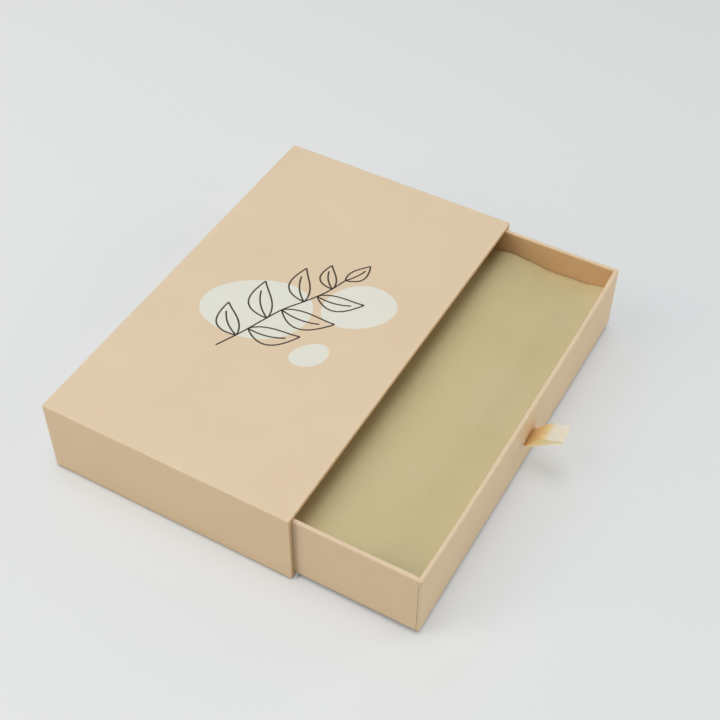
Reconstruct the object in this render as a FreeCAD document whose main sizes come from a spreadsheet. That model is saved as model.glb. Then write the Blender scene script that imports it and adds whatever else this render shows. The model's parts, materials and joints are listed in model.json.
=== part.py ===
import FreeCAD, Part
import Sketcher
import math
import os

# Rigid drawer box: a sleeve that is open at one end, and a tray that slides out of it.
# X runs out of the sleeve's mouth, Y runs across the box and Z is up.
# The origin lies on the table, under the middle of the sleeve.
# The tray is modelled partly drawn out, and all sizes are in millimetres.

SIZES = [
    ("sleeve_depth", 138, "sleeve, back to mouth"),
    ("sleeve_width", 230, "sleeve, side to side"),
    ("sleeve_height", 45, "sleeve, table to top"),
    ("board_thickness", 2, "greyboard panels"),
    ("paper_thickness", 0.15, "wraps, linings and cover sheets"),
    ("stay_thickness", 0.1, "gummed stays, and the glue line that they lie in"),
    ("stay_leg", 12, "one leg of a stay"),
    ("fold_radius", 0.2, "outer radius where a wrap folds over a board's edge"),
    ("mouth_turn_in", 15, "sleeve wrap turned into the mouth"),
    ("under_flap", 15, "wrap turned under a base or over a back"),
    ("cover_margin", 1.5, "a cover sheet stops this far inside the edges"),
    ("side_clearance", 0.35, "tray to sleeve, on each side"),
    ("top_clearance", 0.35, "tray rim to sleeve"),
    ("floor_clearance", 0.15, "tray to sleeve floor"),
    ("back_clearance", 0.4, "shut tray to sleeve back"),
    ("draw_out", 65, "tray front from the mouth, as modelled"),
    ("lining_margin", 3, "tray lining's top edge above the ribbon slot"),
    ("slot_width", 13, "ribbon slot, along the tray's front"),
    ("slot_height", 1.2, "ribbon slot, upwards"),
    ("slot_rise", 16, "ribbon slot's middle above the tray's underside"),
    ("slot_shift", 3.4, "ribbon slot's middle from the middle of the front"),
    ("ribbon_width", 12, "pull ribbon"),
    ("ribbon_thickness", 0.25, "pull ribbon"),
    ("ply_gap", 0.1, "between the ribbon's two plies, and round its tails"),
    ("ribbon_reach", 19, "loop's tip from the tray's front"),
    ("ribbon_rise", 12.7, "loop's tip above the slot"),
    ("ribbon_bow", 5.5, "upper ply's bow above the straight line"),
    ("ribbon_root", 2, "straight stretch outside the slot"),
    ("ribbon_tail", 11, "glued tail below the slot"),
    ("tip_radius", 0.7, "fold at the loop's tip"),
    ("root_radius", 3, "bends where the loop leaves the slot"),
    ("bow_radius", 11, "bend at the top of the upper ply's bow"),
    ("patch_margin", 4, "patch beyond the ribbon's tails"),
    ("pad_height", 19, "soft slab under the sheet"),
    ("pad_clearance", 1.5, "slab to the tray's walls"),
    ("sheet_thickness", 0.3, "loose sheet"),
    ("sheet_clearance", 0.4, "loose sheet to the tray's walls"),
    ("sheet_seat", 0.3, "loose sheet's troughs above the slab"),
    ("wave_height", 3.4, "loose sheet, trough to crest"),
]

# Places that follow from the sizes. Each is a formula on the names in the two spreadsheets.
PLACES = [
    ("skin", "Dims.paper_thickness + Dims.stay_thickness"),
    ("panel", "Places.skin + Dims.board_thickness"),
    ("wall", "Places.panel + Dims.paper_thickness"),
    ("mouth_x", "Dims.sleeve_depth / 2"),
    ("back_x", "-Dims.sleeve_depth / 2"),
    ("sleeve_wrap_back_x", "Places.back_x + Dims.paper_thickness"),
    ("sleeve_board_back_x", "Places.sleeve_wrap_back_x + Places.skin"),
    ("cavity_back_x", "Places.sleeve_wrap_back_x + Places.wall"),
    ("sleeve_side_y", "Dims.sleeve_width / 2"),
    ("sleeve_board_floor_z", "Dims.paper_thickness + Places.skin"),
    ("cavity_floor_z", "Dims.paper_thickness + Places.wall"),
    ("cavity_top_z", "Dims.sleeve_height - Places.wall"),
    ("tray_front_x", "Places.mouth_x + Dims.draw_out"),
    ("tray_back_x", "Places.tray_front_x - Places.mouth_x + Places.cavity_back_x + Dims.back_clearance"),
    ("tray_side_y", "Places.sleeve_side_y - Places.wall - Dims.side_clearance"),
    ("tray_low_z", "Places.cavity_floor_z + Dims.floor_clearance"),
    ("rim_z", "Places.cavity_top_z - Dims.top_clearance"),
    ("tray_wrap_low_z", "Places.tray_low_z + Dims.paper_thickness"),
    ("tray_board_low_z", "Places.tray_wrap_low_z + Places.skin"),
    ("tray_board_top_z", "Places.rim_z - Dims.paper_thickness"),
    ("tray_floor_z", "Places.tray_board_low_z + Dims.board_thickness + Dims.paper_thickness"),
    ("slot_z", "Places.tray_low_z + Dims.slot_rise"),
    ("slot_low_z", "Places.slot_z - Dims.slot_height / 2"),
    ("slot_top_z", "Places.slot_z + Dims.slot_height / 2"),
    ("lining_top_z", "Places.slot_top_z + Dims.lining_margin"),
    ("slot_near_y", "Dims.slot_shift - Dims.slot_width / 2"),
    ("slot_far_y", "Dims.slot_shift + Dims.slot_width / 2"),
    ("room_front_x", "Places.tray_front_x - Places.wall"),
    ("room_back_x", "Places.tray_back_x + Places.wall"),
    ("room_side_y", "Places.tray_side_y - Places.wall"),
    ("inner_tail_x", "Places.room_front_x - Dims.ply_gap - Dims.ribbon_thickness / 2"),
    ("outer_tail_x", "Places.inner_tail_x - Dims.ply_gap - Dims.ribbon_thickness"),
    ("patch_front_x", "Places.outer_tail_x - Dims.ribbon_thickness / 2 - Dims.ply_gap"),
    ("tail_low_z", "Places.slot_z - Dims.ribbon_tail"),
    ("pad_top_z", "Places.tray_floor_z + Dims.pad_height"),
    ("sheet_low_z", "Places.pad_top_z + Dims.sheet_seat + Dims.sheet_thickness / 2"),
    ("sheet_high_z", "Places.sheet_low_z + Dims.wave_height"),
]

# Crests and troughs of the loose sheet, as shares of the tray's room from its front.
WAVE_SHARES = [0.0, 0.21, 0.45, 0.7, 1.0]

# How much of the tip's radius its two bends take up.
TIP_SHARE = 0.95

doc = FreeCAD.newDocument("drawer_gift_box")
subparts = []


# Spreadsheets

dims = doc.addObject("Spreadsheet::Sheet", "Dims")
for row, (alias, number, note) in enumerate(SIZES, start=1):
    dims.set(f"A{row}", alias)
    dims.set(f"B{row}", str(number))
    dims.set(f"C{row}", note)
    dims.setAlias(f"B{row}", alias)
doc.recompute()

places = doc.addObject("Spreadsheet::Sheet", "Places")
for row, (alias, formula) in enumerate(PLACES, start=1):
    places.set(f"A{row}", alias)
    places.set(f"B{row}", "=" + formula.replace("Places.", ""))
    places.setAlias(f"B{row}", alias)
doc.recompute()


# Shared ways to build a piece

# Each sketch plane's own two axes, and then its normal.
PLANES = {
    "XY_Plane": ("x", "y", "z"),
    "XZ_Plane": ("x", "z", "y"),
    "YZ_Plane": ("y", "z", "x"),
}
AXES = "xyz"


def new_body(name):
    """Start a named body and list it as a sub-part."""
    body = doc.addObject("PartDesign::Body", name)
    body.Label = name
    subparts.append(body)
    return body


def add_block(body, name, low, high, cut=False):
    """Add a block to a body, or cut one away, between two corners given as formulas."""
    kind = "PartDesign::SubtractiveBox" if cut else "PartDesign::AdditiveBox"
    block = body.newObject(kind, name)
    for side, axis, near, far in zip(("Length", "Width", "Height"), AXES, low, high):
        block.setExpression(side, f"({far}) - ({near})")
        block.setExpression(f"Placement.Base.{axis}", near)
    return block


def fold_edges(body, block):
    """Round every edge of a wrap's block, where the paper folds over the boards."""
    doc.recompute()
    fold = body.newObject("PartDesign::Fillet", body.Name + "_folds")
    fold.Base = (block, [f"Edge{index + 1}" for index in range(len(block.Shape.Edges))])
    fold.setExpression("Radius", "Dims.fold_radius")
    return fold


def add_rectangle(body, name, role, wide, tall):
    """Sketch a rectangle about the middle of one of the body's own origin planes."""
    sketch = body.newObject("Sketcher::SketchObject", name)
    plane = [datum for datum in body.Origin.OriginFeatures if datum.Role == role][0]
    sketch.AttachmentSupport = [(plane, "")]
    sketch.MapMode = "FlatFace"
    corners = [
        FreeCAD.Vector(-1, -1, 0),
        FreeCAD.Vector(1, -1, 0),
        FreeCAD.Vector(1, 1, 0),
        FreeCAD.Vector(-1, 1, 0),
    ]
    for start, end in zip(corners, corners[1:] + corners[:1]):
        sketch.addGeometry(Part.LineSegment(start, end))
    for side in range(4):
        sketch.addConstraint(Sketcher.Constraint("Coincident", side, 2, (side + 1) % 4, 1))
    for side in range(4):
        sketch.addConstraint(Sketcher.Constraint(("Horizontal", "Vertical")[side % 2], side))
    sketch.addConstraint(Sketcher.Constraint("Symmetric", 0, 1, 2, 1, -1, 1))
    for direction, side, formula in (("DistanceX", 0, wide), ("DistanceY", 1, tall)):
        index = sketch.addConstraint(Sketcher.Constraint(direction, side, 1, side, 2, 2))
        sketch.renameConstraint(index, direction)
        sketch.setExpression(f"Constraints.{direction}", formula)
    return sketch


def add_panel(name, role, low, high):
    """Make a flat panel: a rectangle sketched on the plane that it lies in, padded both ways."""
    body = new_body(name)
    across, along, through = (AXES.index(axis) for axis in PLANES[role])
    sketch = add_rectangle(
        body,
        name + "_outline",
        role,
        f"({high[across]}) - ({low[across]})",
        f"({high[along]}) - ({low[along]})",
    )
    pad = body.newObject("PartDesign::Pad", name + "_sheet")
    pad.Profile = sketch
    pad.SideType = "Symmetric"
    pad.setExpression("Length", f"({high[through]}) - ({low[through]})")
    for axis, near, far in zip(AXES, low, high):
        body.setExpression(f"Placement.Base.{axis}", f"(({near}) + ({far})) / 2")
    return body


def add_shape(name, shape):
    """Add a piece whose shape is worked out here rather than by sketched features."""
    feature = doc.addObject("Part::Feature", name)
    feature.Label = name
    feature.Shape = shape
    feature.Placement = FreeCAD.Placement()
    subparts.append(feature)
    return feature


def bent_path(points, radii):
    """Join points in the XZ plane by straight runs, with a tangent arc at each inner point."""
    edges = []
    start = points[0]
    for before, corner, after, radius in zip(points, points[1:], points[2:], radii):
        incoming = (before - corner).normalize()
        outgoing = (after - corner).normalize()
        half_angle = incoming.getAngle(outgoing) / 2
        setback = radius / math.tan(half_angle)
        first = corner + incoming * setback
        last = corner + outgoing * setback
        bisector = (incoming + outgoing).normalize()
        middle = corner + bisector * (radius / math.sin(half_angle) - radius)
        edges.append(Part.LineSegment(start, first).toShape())
        edges.append(Part.Arc(first, middle, last).toShape())
        start = last
    edges.append(Part.LineSegment(start, points[-1]).toShape())
    return Part.Wire(edges)


def level_arc_point(level, other):
    """Find the halfway point of the arc that leaves one point level and goes to another."""
    run = other.x - level.x
    rise = other.z - level.z
    radius = (run * run + rise * rise) / (2 * rise)
    centre = level + FreeCAD.Vector(0, 0, radius)
    return ((level + other) / 2 - centre).normalize() * abs(radius) + centre


def waved_path(points):
    """Join crests and troughs in the XZ plane by pairs of arcs that meet halfway between them."""
    edges = []
    for start, end in zip(points, points[1:]):
        middle = (start + end) / 2
        edges.append(Part.Arc(start, level_arc_point(start, middle), middle).toShape())
        edges.append(Part.Arc(middle, level_arc_point(end, middle), end).toShape())
    return Part.Wire(edges)


def strip_along(path, near_y, far_y, thickness):
    """Carry a thin strip's section, as wide as the two Y values, along a path in the XZ plane."""
    start = path.Vertexes[0].Point
    heading = path.Edges[0].tangentAt(path.Edges[0].FirstParameter)
    normal = FreeCAD.Vector(-heading.z, 0, heading.x) * (thickness / 2)
    corners = []
    for side, side_y in ((1, near_y), (1, far_y), (-1, far_y), (-1, near_y)):
        corners.append(FreeCAD.Vector(start.x, side_y, start.z) + normal * side)
    profile = Part.makePolygon(corners + corners[:1])
    strip = path.makePipeShell([profile], True, False)
    expected = path.Length * thickness * (far_y - near_y)
    print(f"strip volume {strip.Volume:.3f}, section times length {expected:.3f}")
    return strip


def corners_of(ranges):
    """Turn three pairs of formulas, one pair for each axis, into a low and a high corner."""
    return [pair[0] for pair in ranges], [pair[1] for pair in ranges]


def both_sides(formula):
    """Give the pair of formulas that reaches the same way to each side of the middle."""
    return f"-({formula})", formula


# Sleeve boards

SLEEVE_BOARD_Y = "Places.sleeve_side_y - Places.skin"
SLEEVE_INSIDE_Y = "Places.sleeve_side_y - Places.panel"
SLEEVE_BOARD_X = ("Places.sleeve_board_back_x", "Places.mouth_x - Dims.paper_thickness")
SLEEVE_INSIDE_Z = (
    "Places.cavity_floor_z - Dims.paper_thickness",
    "Places.cavity_top_z + Dims.paper_thickness",
)


def build_sleeve_boards():
    """Cut the five greyboard panels of the sleeve."""
    base_z = ("Places.sleeve_board_floor_z", SLEEVE_INSIDE_Z[0])
    top_z = (SLEEVE_INSIDE_Z[1], "Dims.sleeve_height - Places.skin")
    whole_y = both_sides(SLEEVE_BOARD_Y)
    back_x = (SLEEVE_BOARD_X[0], "Places.sleeve_board_back_x + Dims.board_thickness")
    left_y = (f"-({SLEEVE_BOARD_Y})", f"-({SLEEVE_INSIDE_Y})")
    right_y = (SLEEVE_INSIDE_Y, SLEEVE_BOARD_Y)
    add_panel("sleeve_base_board", "XY_Plane", *corners_of((SLEEVE_BOARD_X, whole_y, base_z)))
    add_panel("sleeve_top_board", "XY_Plane", *corners_of((SLEEVE_BOARD_X, whole_y, top_z)))
    add_panel("sleeve_left_board", "XZ_Plane", *corners_of((SLEEVE_BOARD_X, left_y, SLEEVE_INSIDE_Z)))
    add_panel("sleeve_right_board", "XZ_Plane", *corners_of((SLEEVE_BOARD_X, right_y, SLEEVE_INSIDE_Z)))
    inside_y = both_sides(SLEEVE_INSIDE_Y)
    add_panel("sleeve_back_board", "YZ_Plane", *corners_of((back_x, inside_y, SLEEVE_INSIDE_Z)))


# Sleeve stays

def build_sleeve_stays():
    """Lay a gummed paper stay round each of the four long folds."""
    stay_x = (SLEEVE_BOARD_X[0], f"{SLEEVE_BOARD_X[1]} - Dims.mouth_turn_in")
    low_z = "Places.sleeve_board_floor_z"
    high_z = "Dims.sleeve_height - Places.skin"
    number = 0
    for side in (-1, 1):
        for upper in (False, True):
            number += 1
            outer_y = f"{side} * ({SLEEVE_BOARD_Y} + Dims.stay_thickness)"
            face_y = f"{side} * ({SLEEVE_BOARD_Y})"
            tip_y = f"{side} * ({SLEEVE_BOARD_Y} - Dims.stay_leg)"
            if upper:
                flat_z = (high_z, f"{high_z} + Dims.stay_thickness")
                leg_z = (f"{high_z} - Dims.stay_leg", f"{high_z} + Dims.stay_thickness")
            else:
                flat_z = (f"{low_z} - Dims.stay_thickness", low_z)
                leg_z = (f"{low_z} - Dims.stay_thickness", f"{low_z} + Dims.stay_leg")
            flat_y = (outer_y, tip_y) if side < 0 else (tip_y, outer_y)
            leg_y = (outer_y, face_y) if side < 0 else (face_y, outer_y)
            body = new_body(f"sleeve_stay_{number}")
            add_block(body, f"{body.Name}_flat", *corners_of((stay_x, flat_y, flat_z)))
            add_block(body, f"{body.Name}_leg", *corners_of((stay_x, leg_y, leg_z)))


# Sleeve papers

def build_sleeve_wrap():
    """Wrap the sleeve: a skin outside the boards, over the mouth edges and turned in."""
    body = new_body("sleeve_wrap")
    outer_x = ("Places.sleeve_wrap_back_x", "Places.mouth_x")
    outer_y = both_sides("Places.sleeve_side_y")
    outer_z = ("Dims.paper_thickness", "Dims.sleeve_height")
    outer = add_block(body, "sleeve_skin", *corners_of((outer_x, outer_y, outer_z)))
    fold_edges(body, outer)
    space_x = ("Places.sleeve_wrap_back_x + Dims.paper_thickness", "Places.mouth_x - Dims.paper_thickness")
    space_y = both_sides("Places.sleeve_side_y - Dims.paper_thickness")
    space_z = ("2 * Dims.paper_thickness", "Dims.sleeve_height - Dims.paper_thickness")
    add_block(body, "sleeve_board_space", *corners_of((space_x, space_y, space_z)), cut=True)
    turn_x = ("Places.mouth_x - Dims.mouth_turn_in", "Places.mouth_x - Dims.paper_thickness / 2")
    turn_y = both_sides(SLEEVE_INSIDE_Y)
    add_block(body, "sleeve_turn_in", *corners_of((turn_x, turn_y, SLEEVE_INSIDE_Z)))
    mouth_x = ("Places.mouth_x - Dims.mouth_turn_in", "Places.mouth_x")
    mouth_y = both_sides("Places.sleeve_side_y - Places.wall")
    mouth_z = ("Places.cavity_floor_z", "Places.cavity_top_z")
    add_block(body, "sleeve_mouth", *corners_of((mouth_x, mouth_y, mouth_z)), cut=True)
    window_x = ("Places.sleeve_wrap_back_x + Dims.under_flap", "Places.mouth_x - Dims.under_flap")
    window_y = both_sides("Places.sleeve_side_y - Dims.under_flap")
    window_z = ("Dims.paper_thickness", "2 * Dims.paper_thickness")
    add_block(body, "sleeve_base_window", *corners_of((window_x, window_y, window_z)), cut=True)
    back_x = ("Places.sleeve_wrap_back_x", "Places.sleeve_wrap_back_x + Dims.paper_thickness")
    back_z = ("Dims.paper_thickness + Dims.under_flap", "Dims.sleeve_height - Dims.under_flap")
    add_block(body, "sleeve_back_window", *corners_of((back_x, window_y, back_z)), cut=True)


def build_sleeve_lining():
    """Line the cavity, from the back board to the wrap's turned-in edge."""
    body = new_body("sleeve_lining")
    outer_x = ("Places.cavity_back_x - Dims.paper_thickness", "Places.mouth_x - Dims.mouth_turn_in")
    outer_y = both_sides(SLEEVE_INSIDE_Y)
    add_block(body, "sleeve_lining_skin", *corners_of((outer_x, outer_y, SLEEVE_INSIDE_Z)))
    inner_x = ("Places.cavity_back_x", outer_x[1])
    inner_y = both_sides("Places.sleeve_side_y - Places.wall")
    inner_z = ("Places.cavity_floor_z", "Places.cavity_top_z")
    add_block(body, "sleeve_lining_room", *corners_of((inner_x, inner_y, inner_z)), cut=True)


def build_sleeve_covers():
    """Cover the base and the back with flat sheets over the wrap's flaps."""
    side_y = both_sides("Places.sleeve_side_y - Dims.cover_margin")
    base_x = ("Places.sleeve_wrap_back_x + Dims.cover_margin", "Places.mouth_x - Dims.cover_margin")
    base_z = ("0", "Dims.paper_thickness")
    add_panel("sleeve_base_paper", "XY_Plane", *corners_of((base_x, side_y, base_z)))
    back_x = ("Places.back_x", "Places.sleeve_wrap_back_x")
    back_z = ("Dims.paper_thickness + Dims.cover_margin", "Dims.sleeve_height - Dims.cover_margin")
    add_panel("sleeve_back_paper", "YZ_Plane", *corners_of((back_x, side_y, back_z)))


# Tray boards

TRAY_BOARD_Y = "Places.tray_side_y - Places.skin"
TRAY_INSIDE_Y = "Places.tray_side_y - Places.panel"
TRAY_BOARD_X = ("Places.tray_back_x + Places.skin", "Places.tray_front_x - Places.skin")
TRAY_INSIDE_X = ("Places.tray_back_x + Places.panel", "Places.tray_front_x - Places.panel")
TRAY_BOARD_Z = ("Places.tray_board_low_z", "Places.tray_board_top_z")
SLOT_Y = ("Places.slot_near_y", "Places.slot_far_y")
SLOT_Z = ("Places.slot_low_z", "Places.slot_top_z")


def build_tray_boards():
    """Cut the five greyboard panels of the tray, the front one with the ribbon's slot."""
    whole_y = both_sides(TRAY_BOARD_Y)
    inside_y = both_sides(TRAY_INSIDE_Y)
    left_y = (f"-({TRAY_BOARD_Y})", f"-({TRAY_INSIDE_Y})")
    right_y = (TRAY_INSIDE_Y, TRAY_BOARD_Y)
    front_x = (TRAY_INSIDE_X[1], TRAY_BOARD_X[1])
    back_x = (TRAY_BOARD_X[0], TRAY_INSIDE_X[0])
    base_z = (TRAY_BOARD_Z[0], "Places.tray_board_low_z + Dims.board_thickness")
    add_panel("tray_base_board", "XY_Plane", *corners_of((TRAY_INSIDE_X, inside_y, base_z)))
    add_panel("tray_left_board", "XZ_Plane", *corners_of((TRAY_INSIDE_X, left_y, TRAY_BOARD_Z)))
    add_panel("tray_right_board", "XZ_Plane", *corners_of((TRAY_INSIDE_X, right_y, TRAY_BOARD_Z)))
    add_panel("tray_back_board", "YZ_Plane", *corners_of((back_x, whole_y, TRAY_BOARD_Z)))
    front = add_panel("tray_front_board", "YZ_Plane", *corners_of((front_x, whole_y, TRAY_BOARD_Z)))
    outline = add_rectangle(front, "ribbon_slot_outline", "YZ_Plane", "Dims.slot_width", "Dims.slot_height")
    middle_z = f"({TRAY_BOARD_Z[0]} + {TRAY_BOARD_Z[1]}) / 2"
    outline.setExpression("AttachmentOffset.Base.x", "Dims.slot_shift")
    outline.setExpression("AttachmentOffset.Base.y", f"Places.slot_z - {middle_z}")
    slot = front.newObject("PartDesign::Pocket", "ribbon_slot")
    slot.Profile = outline
    slot.SideType = "Symmetric"
    slot.setExpression("Length", "2 * Dims.board_thickness")


# Tray stays

def build_tray_stays():
    """Fold a gummed paper stay round each of the four upright corners."""
    stay_z = TRAY_BOARD_Z
    number = 0
    for end in (-1, 1):
        for side in (-1, 1):
            number += 1
            face_x = TRAY_BOARD_X[0] if end < 0 else TRAY_BOARD_X[1]
            outer_x = f"{face_x} + {end} * Dims.stay_thickness"
            tip_x = f"{face_x} - {end} * Dims.stay_leg"
            face_y = f"{side} * ({TRAY_BOARD_Y})"
            outer_y = f"{side} * ({TRAY_BOARD_Y} + Dims.stay_thickness)"
            tip_y = f"{side} * ({TRAY_BOARD_Y} - Dims.stay_leg)"
            end_x = (outer_x, face_x) if end < 0 else (face_x, outer_x)
            end_y = (outer_y, tip_y) if side < 0 else (tip_y, outer_y)
            side_x = (outer_x, tip_x) if end < 0 else (tip_x, outer_x)
            side_y = (outer_y, face_y) if side < 0 else (face_y, outer_y)
            body = new_body(f"tray_stay_{number}")
            add_block(body, f"{body.Name}_end", *corners_of((end_x, end_y, stay_z)))
            add_block(body, f"{body.Name}_side", *corners_of((side_x, side_y, stay_z)))


# Tray papers

def build_tray_wrap():
    """Wrap the tray: a skin outside the walls, over the rim and down inside it."""
    body = new_body("tray_wrap")
    outer_x = ("Places.tray_back_x", "Places.tray_front_x")
    outer_y = both_sides("Places.tray_side_y")
    outer_z = ("Places.tray_wrap_low_z", "Places.rim_z")
    outer = add_block(body, "tray_skin", *corners_of((outer_x, outer_y, outer_z)))
    fold_edges(body, outer)
    space_x = ("Places.tray_back_x + Dims.paper_thickness", "Places.tray_front_x - Dims.paper_thickness")
    space_y = both_sides("Places.tray_side_y - Dims.paper_thickness")
    space_z = ("Places.tray_wrap_low_z + Dims.paper_thickness", "Places.tray_board_top_z")
    add_block(body, "tray_board_space", *corners_of((space_x, space_y, space_z)), cut=True)
    turn_z = ("Places.lining_top_z", "Places.rim_z - Dims.paper_thickness / 2")
    add_block(body, "tray_turn_in", *corners_of((TRAY_INSIDE_X, both_sides(TRAY_INSIDE_Y), turn_z)))
    room_x = ("Places.room_back_x", "Places.room_front_x")
    room_z = ("Places.lining_top_z", "Places.rim_z")
    add_block(body, "tray_room", *corners_of((room_x, both_sides("Places.room_side_y"), room_z)), cut=True)
    window_x = ("Places.tray_back_x + Dims.under_flap", "Places.tray_front_x - Dims.under_flap")
    window_y = both_sides("Places.tray_side_y - Dims.under_flap")
    window_z = ("Places.tray_wrap_low_z", "Places.tray_wrap_low_z + Dims.paper_thickness")
    add_block(body, "tray_base_window", *corners_of((window_x, window_y, window_z)), cut=True)
    slot_x = ("Places.tray_front_x - Dims.paper_thickness", "Places.tray_front_x")
    add_block(body, "tray_wrap_slot", *corners_of((slot_x, SLOT_Y, SLOT_Z)), cut=True)


def build_tray_lining():
    """Line the floor and the walls up to the wrap's turned-in edge."""
    body = new_body("tray_lining")
    outer_z = ("Places.tray_floor_z - Dims.paper_thickness", "Places.lining_top_z")
    add_block(body, "tray_lining_skin", *corners_of((TRAY_INSIDE_X, both_sides(TRAY_INSIDE_Y), outer_z)))
    room_x = ("Places.room_back_x", "Places.room_front_x")
    room_y = both_sides("Places.room_side_y")
    room_z = ("Places.tray_floor_z", outer_z[1])
    add_block(body, "tray_lining_room", *corners_of((room_x, room_y, room_z)), cut=True)
    slot_x = ("Places.room_front_x", "Places.room_front_x + Dims.paper_thickness")
    add_block(body, "tray_lining_slot", *corners_of((slot_x, SLOT_Y, SLOT_Z)), cut=True)


def build_tray_cover():
    """Cover the tray's underside with a flat sheet over the wrap's flaps."""
    cover_x = ("Places.tray_back_x + Dims.cover_margin", "Places.tray_front_x - Dims.cover_margin")
    cover_y = both_sides("Places.tray_side_y - Dims.cover_margin")
    cover_z = ("Places.tray_low_z", "Places.tray_wrap_low_z")
    add_panel("tray_base_paper", "XY_Plane", *corners_of((cover_x, cover_y, cover_z)))


# Pull ribbon

def build_pull_ribbon():
    """Bend one ribbon from its inner tail, out through the slot, round the tip and back."""
    half_pitch = (dims.ribbon_thickness + dims.ply_gap) / 2
    front_x = places.tray_front_x
    slot_z = places.slot_z
    tip_x = front_x + dims.ribbon_reach
    tip_z = slot_z + dims.ribbon_rise
    run = FreeCAD.Vector(dims.ribbon_reach, 0, dims.ribbon_rise).normalize()
    square = FreeCAD.Vector(-run.z, 0, run.x)
    tip = FreeCAD.Vector(tip_x, 0, tip_z)
    root = FreeCAD.Vector(front_x + dims.ribbon_root, 0, slot_z)
    bow = (root + tip) / 2 + square * dims.ribbon_bow
    lower_bend = half_pitch + dims.ply_gap
    points = [
        FreeCAD.Vector(places.inner_tail_x, 0, places.tail_low_z),
        FreeCAD.Vector(places.inner_tail_x, 0, slot_z - half_pitch),
        FreeCAD.Vector(root.x, 0, slot_z - half_pitch),
        tip - square * dims.tip_radius,
        tip + square * dims.tip_radius,
        bow,
        FreeCAD.Vector(front_x + dims.ribbon_root / 2, 0, slot_z + half_pitch),
        FreeCAD.Vector(places.outer_tail_x, 0, slot_z + half_pitch),
        FreeCAD.Vector(places.outer_tail_x, 0, places.tail_low_z),
    ]
    radii = [
        lower_bend,
        dims.root_radius,
        dims.tip_radius * TIP_SHARE,
        dims.tip_radius * TIP_SHARE,
        dims.bow_radius,
        dims.root_radius / 2,
        lower_bend + 2 * half_pitch,
    ]
    near_y = dims.slot_shift - dims.ribbon_width / 2
    far_y = dims.slot_shift + dims.ribbon_width / 2
    path = bent_path(points, radii)
    add_shape("pull_ribbon", strip_along(path, near_y, far_y, dims.ribbon_thickness))
    print(f"ribbon length {path.Length:.1f}")


def build_ribbon_patch():
    """Glue a paper patch over the ribbon's tails."""
    patch_x = ("Places.patch_front_x - Dims.paper_thickness", "Places.patch_front_x")
    reach = "Dims.ribbon_width / 2 + Dims.patch_margin"
    patch_y = (f"Dims.slot_shift - ({reach})", f"Dims.slot_shift + {reach}")
    patch_z = ("Places.tail_low_z - Dims.ply_gap", "Places.slot_top_z + Dims.patch_margin / 2")
    add_panel("ribbon_patch", "YZ_Plane", *corners_of((patch_x, patch_y, patch_z)))


# Contents

def build_cushion_pad():
    """Fill the bottom of the tray with the soft slab that holds the sheet up."""
    pad_x = ("Places.room_back_x + Dims.pad_clearance", "Places.room_front_x - Dims.pad_clearance")
    pad_y = both_sides("Places.room_side_y - Dims.pad_clearance")
    pad_z = ("Places.tray_floor_z", "Places.pad_top_z")
    add_panel("cushion_pad", "XY_Plane", *corners_of((pad_x, pad_y, pad_z)))


def build_kraft_sheet():
    """Lay the loose sheet on the slab in long low waves that run across the tray."""
    front_x = places.room_front_x - dims.sheet_clearance
    depth = front_x - places.room_back_x - dims.sheet_clearance
    side_y = places.room_side_y - dims.sheet_clearance
    points = []
    for index, share in enumerate(WAVE_SHARES):
        level = places.sheet_low_z if index % 2 else places.sheet_high_z
        points.append(FreeCAD.Vector(front_x - depth * share, 0, level))
    path = waved_path(points)
    add_shape("kraft_sheet", strip_along(path, -side_y, side_y, dims.sheet_thickness))


# Checks and export

def check_document():
    """Stop if any object failed, or a sub-part is null or broken."""
    for item in doc.Objects:
        if "Invalid" in item.State or "Error" in item.State:
            raise RuntimeError(f"{item.Name} failed: {item.State}")
    for item in subparts:
        if item.Shape.isNull() or not item.Shape.isValid():
            raise RuntimeError(f"{item.Label} has no valid shape")
        if len(item.Shape.Solids) != 1:
            raise RuntimeError(f"{item.Label} is not one solid")


build_sleeve_boards()
build_sleeve_stays()
build_sleeve_wrap()
build_sleeve_lining()
build_sleeve_covers()
build_tray_boards()
build_tray_stays()
build_tray_wrap()
build_tray_lining()
build_tray_cover()
build_pull_ribbon()
build_ribbon_patch()
build_cushion_pad()
build_kraft_sheet()
doc.recompute()
check_document()
os.makedirs("parts", exist_ok=True)
for item in subparts:
    item.Shape.exportStep(f"parts/{item.Label}.step")
    print(f"{item.Label}: {item.Shape.Volume:.1f} mm3")
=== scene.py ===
"""Looks of a sliding drawer gift box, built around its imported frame.

Lengths are in metres, in the frame's own axes: +X runs out of the sleeve's mouth, +Y runs
across the box and +Z is up. Sizes of paper and folds are written in millimetres times MM.
"""

from __future__ import annotations

import json
import logging
import math
from dataclasses import dataclass, field
from enum import Enum
from typing import Sequence

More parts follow.
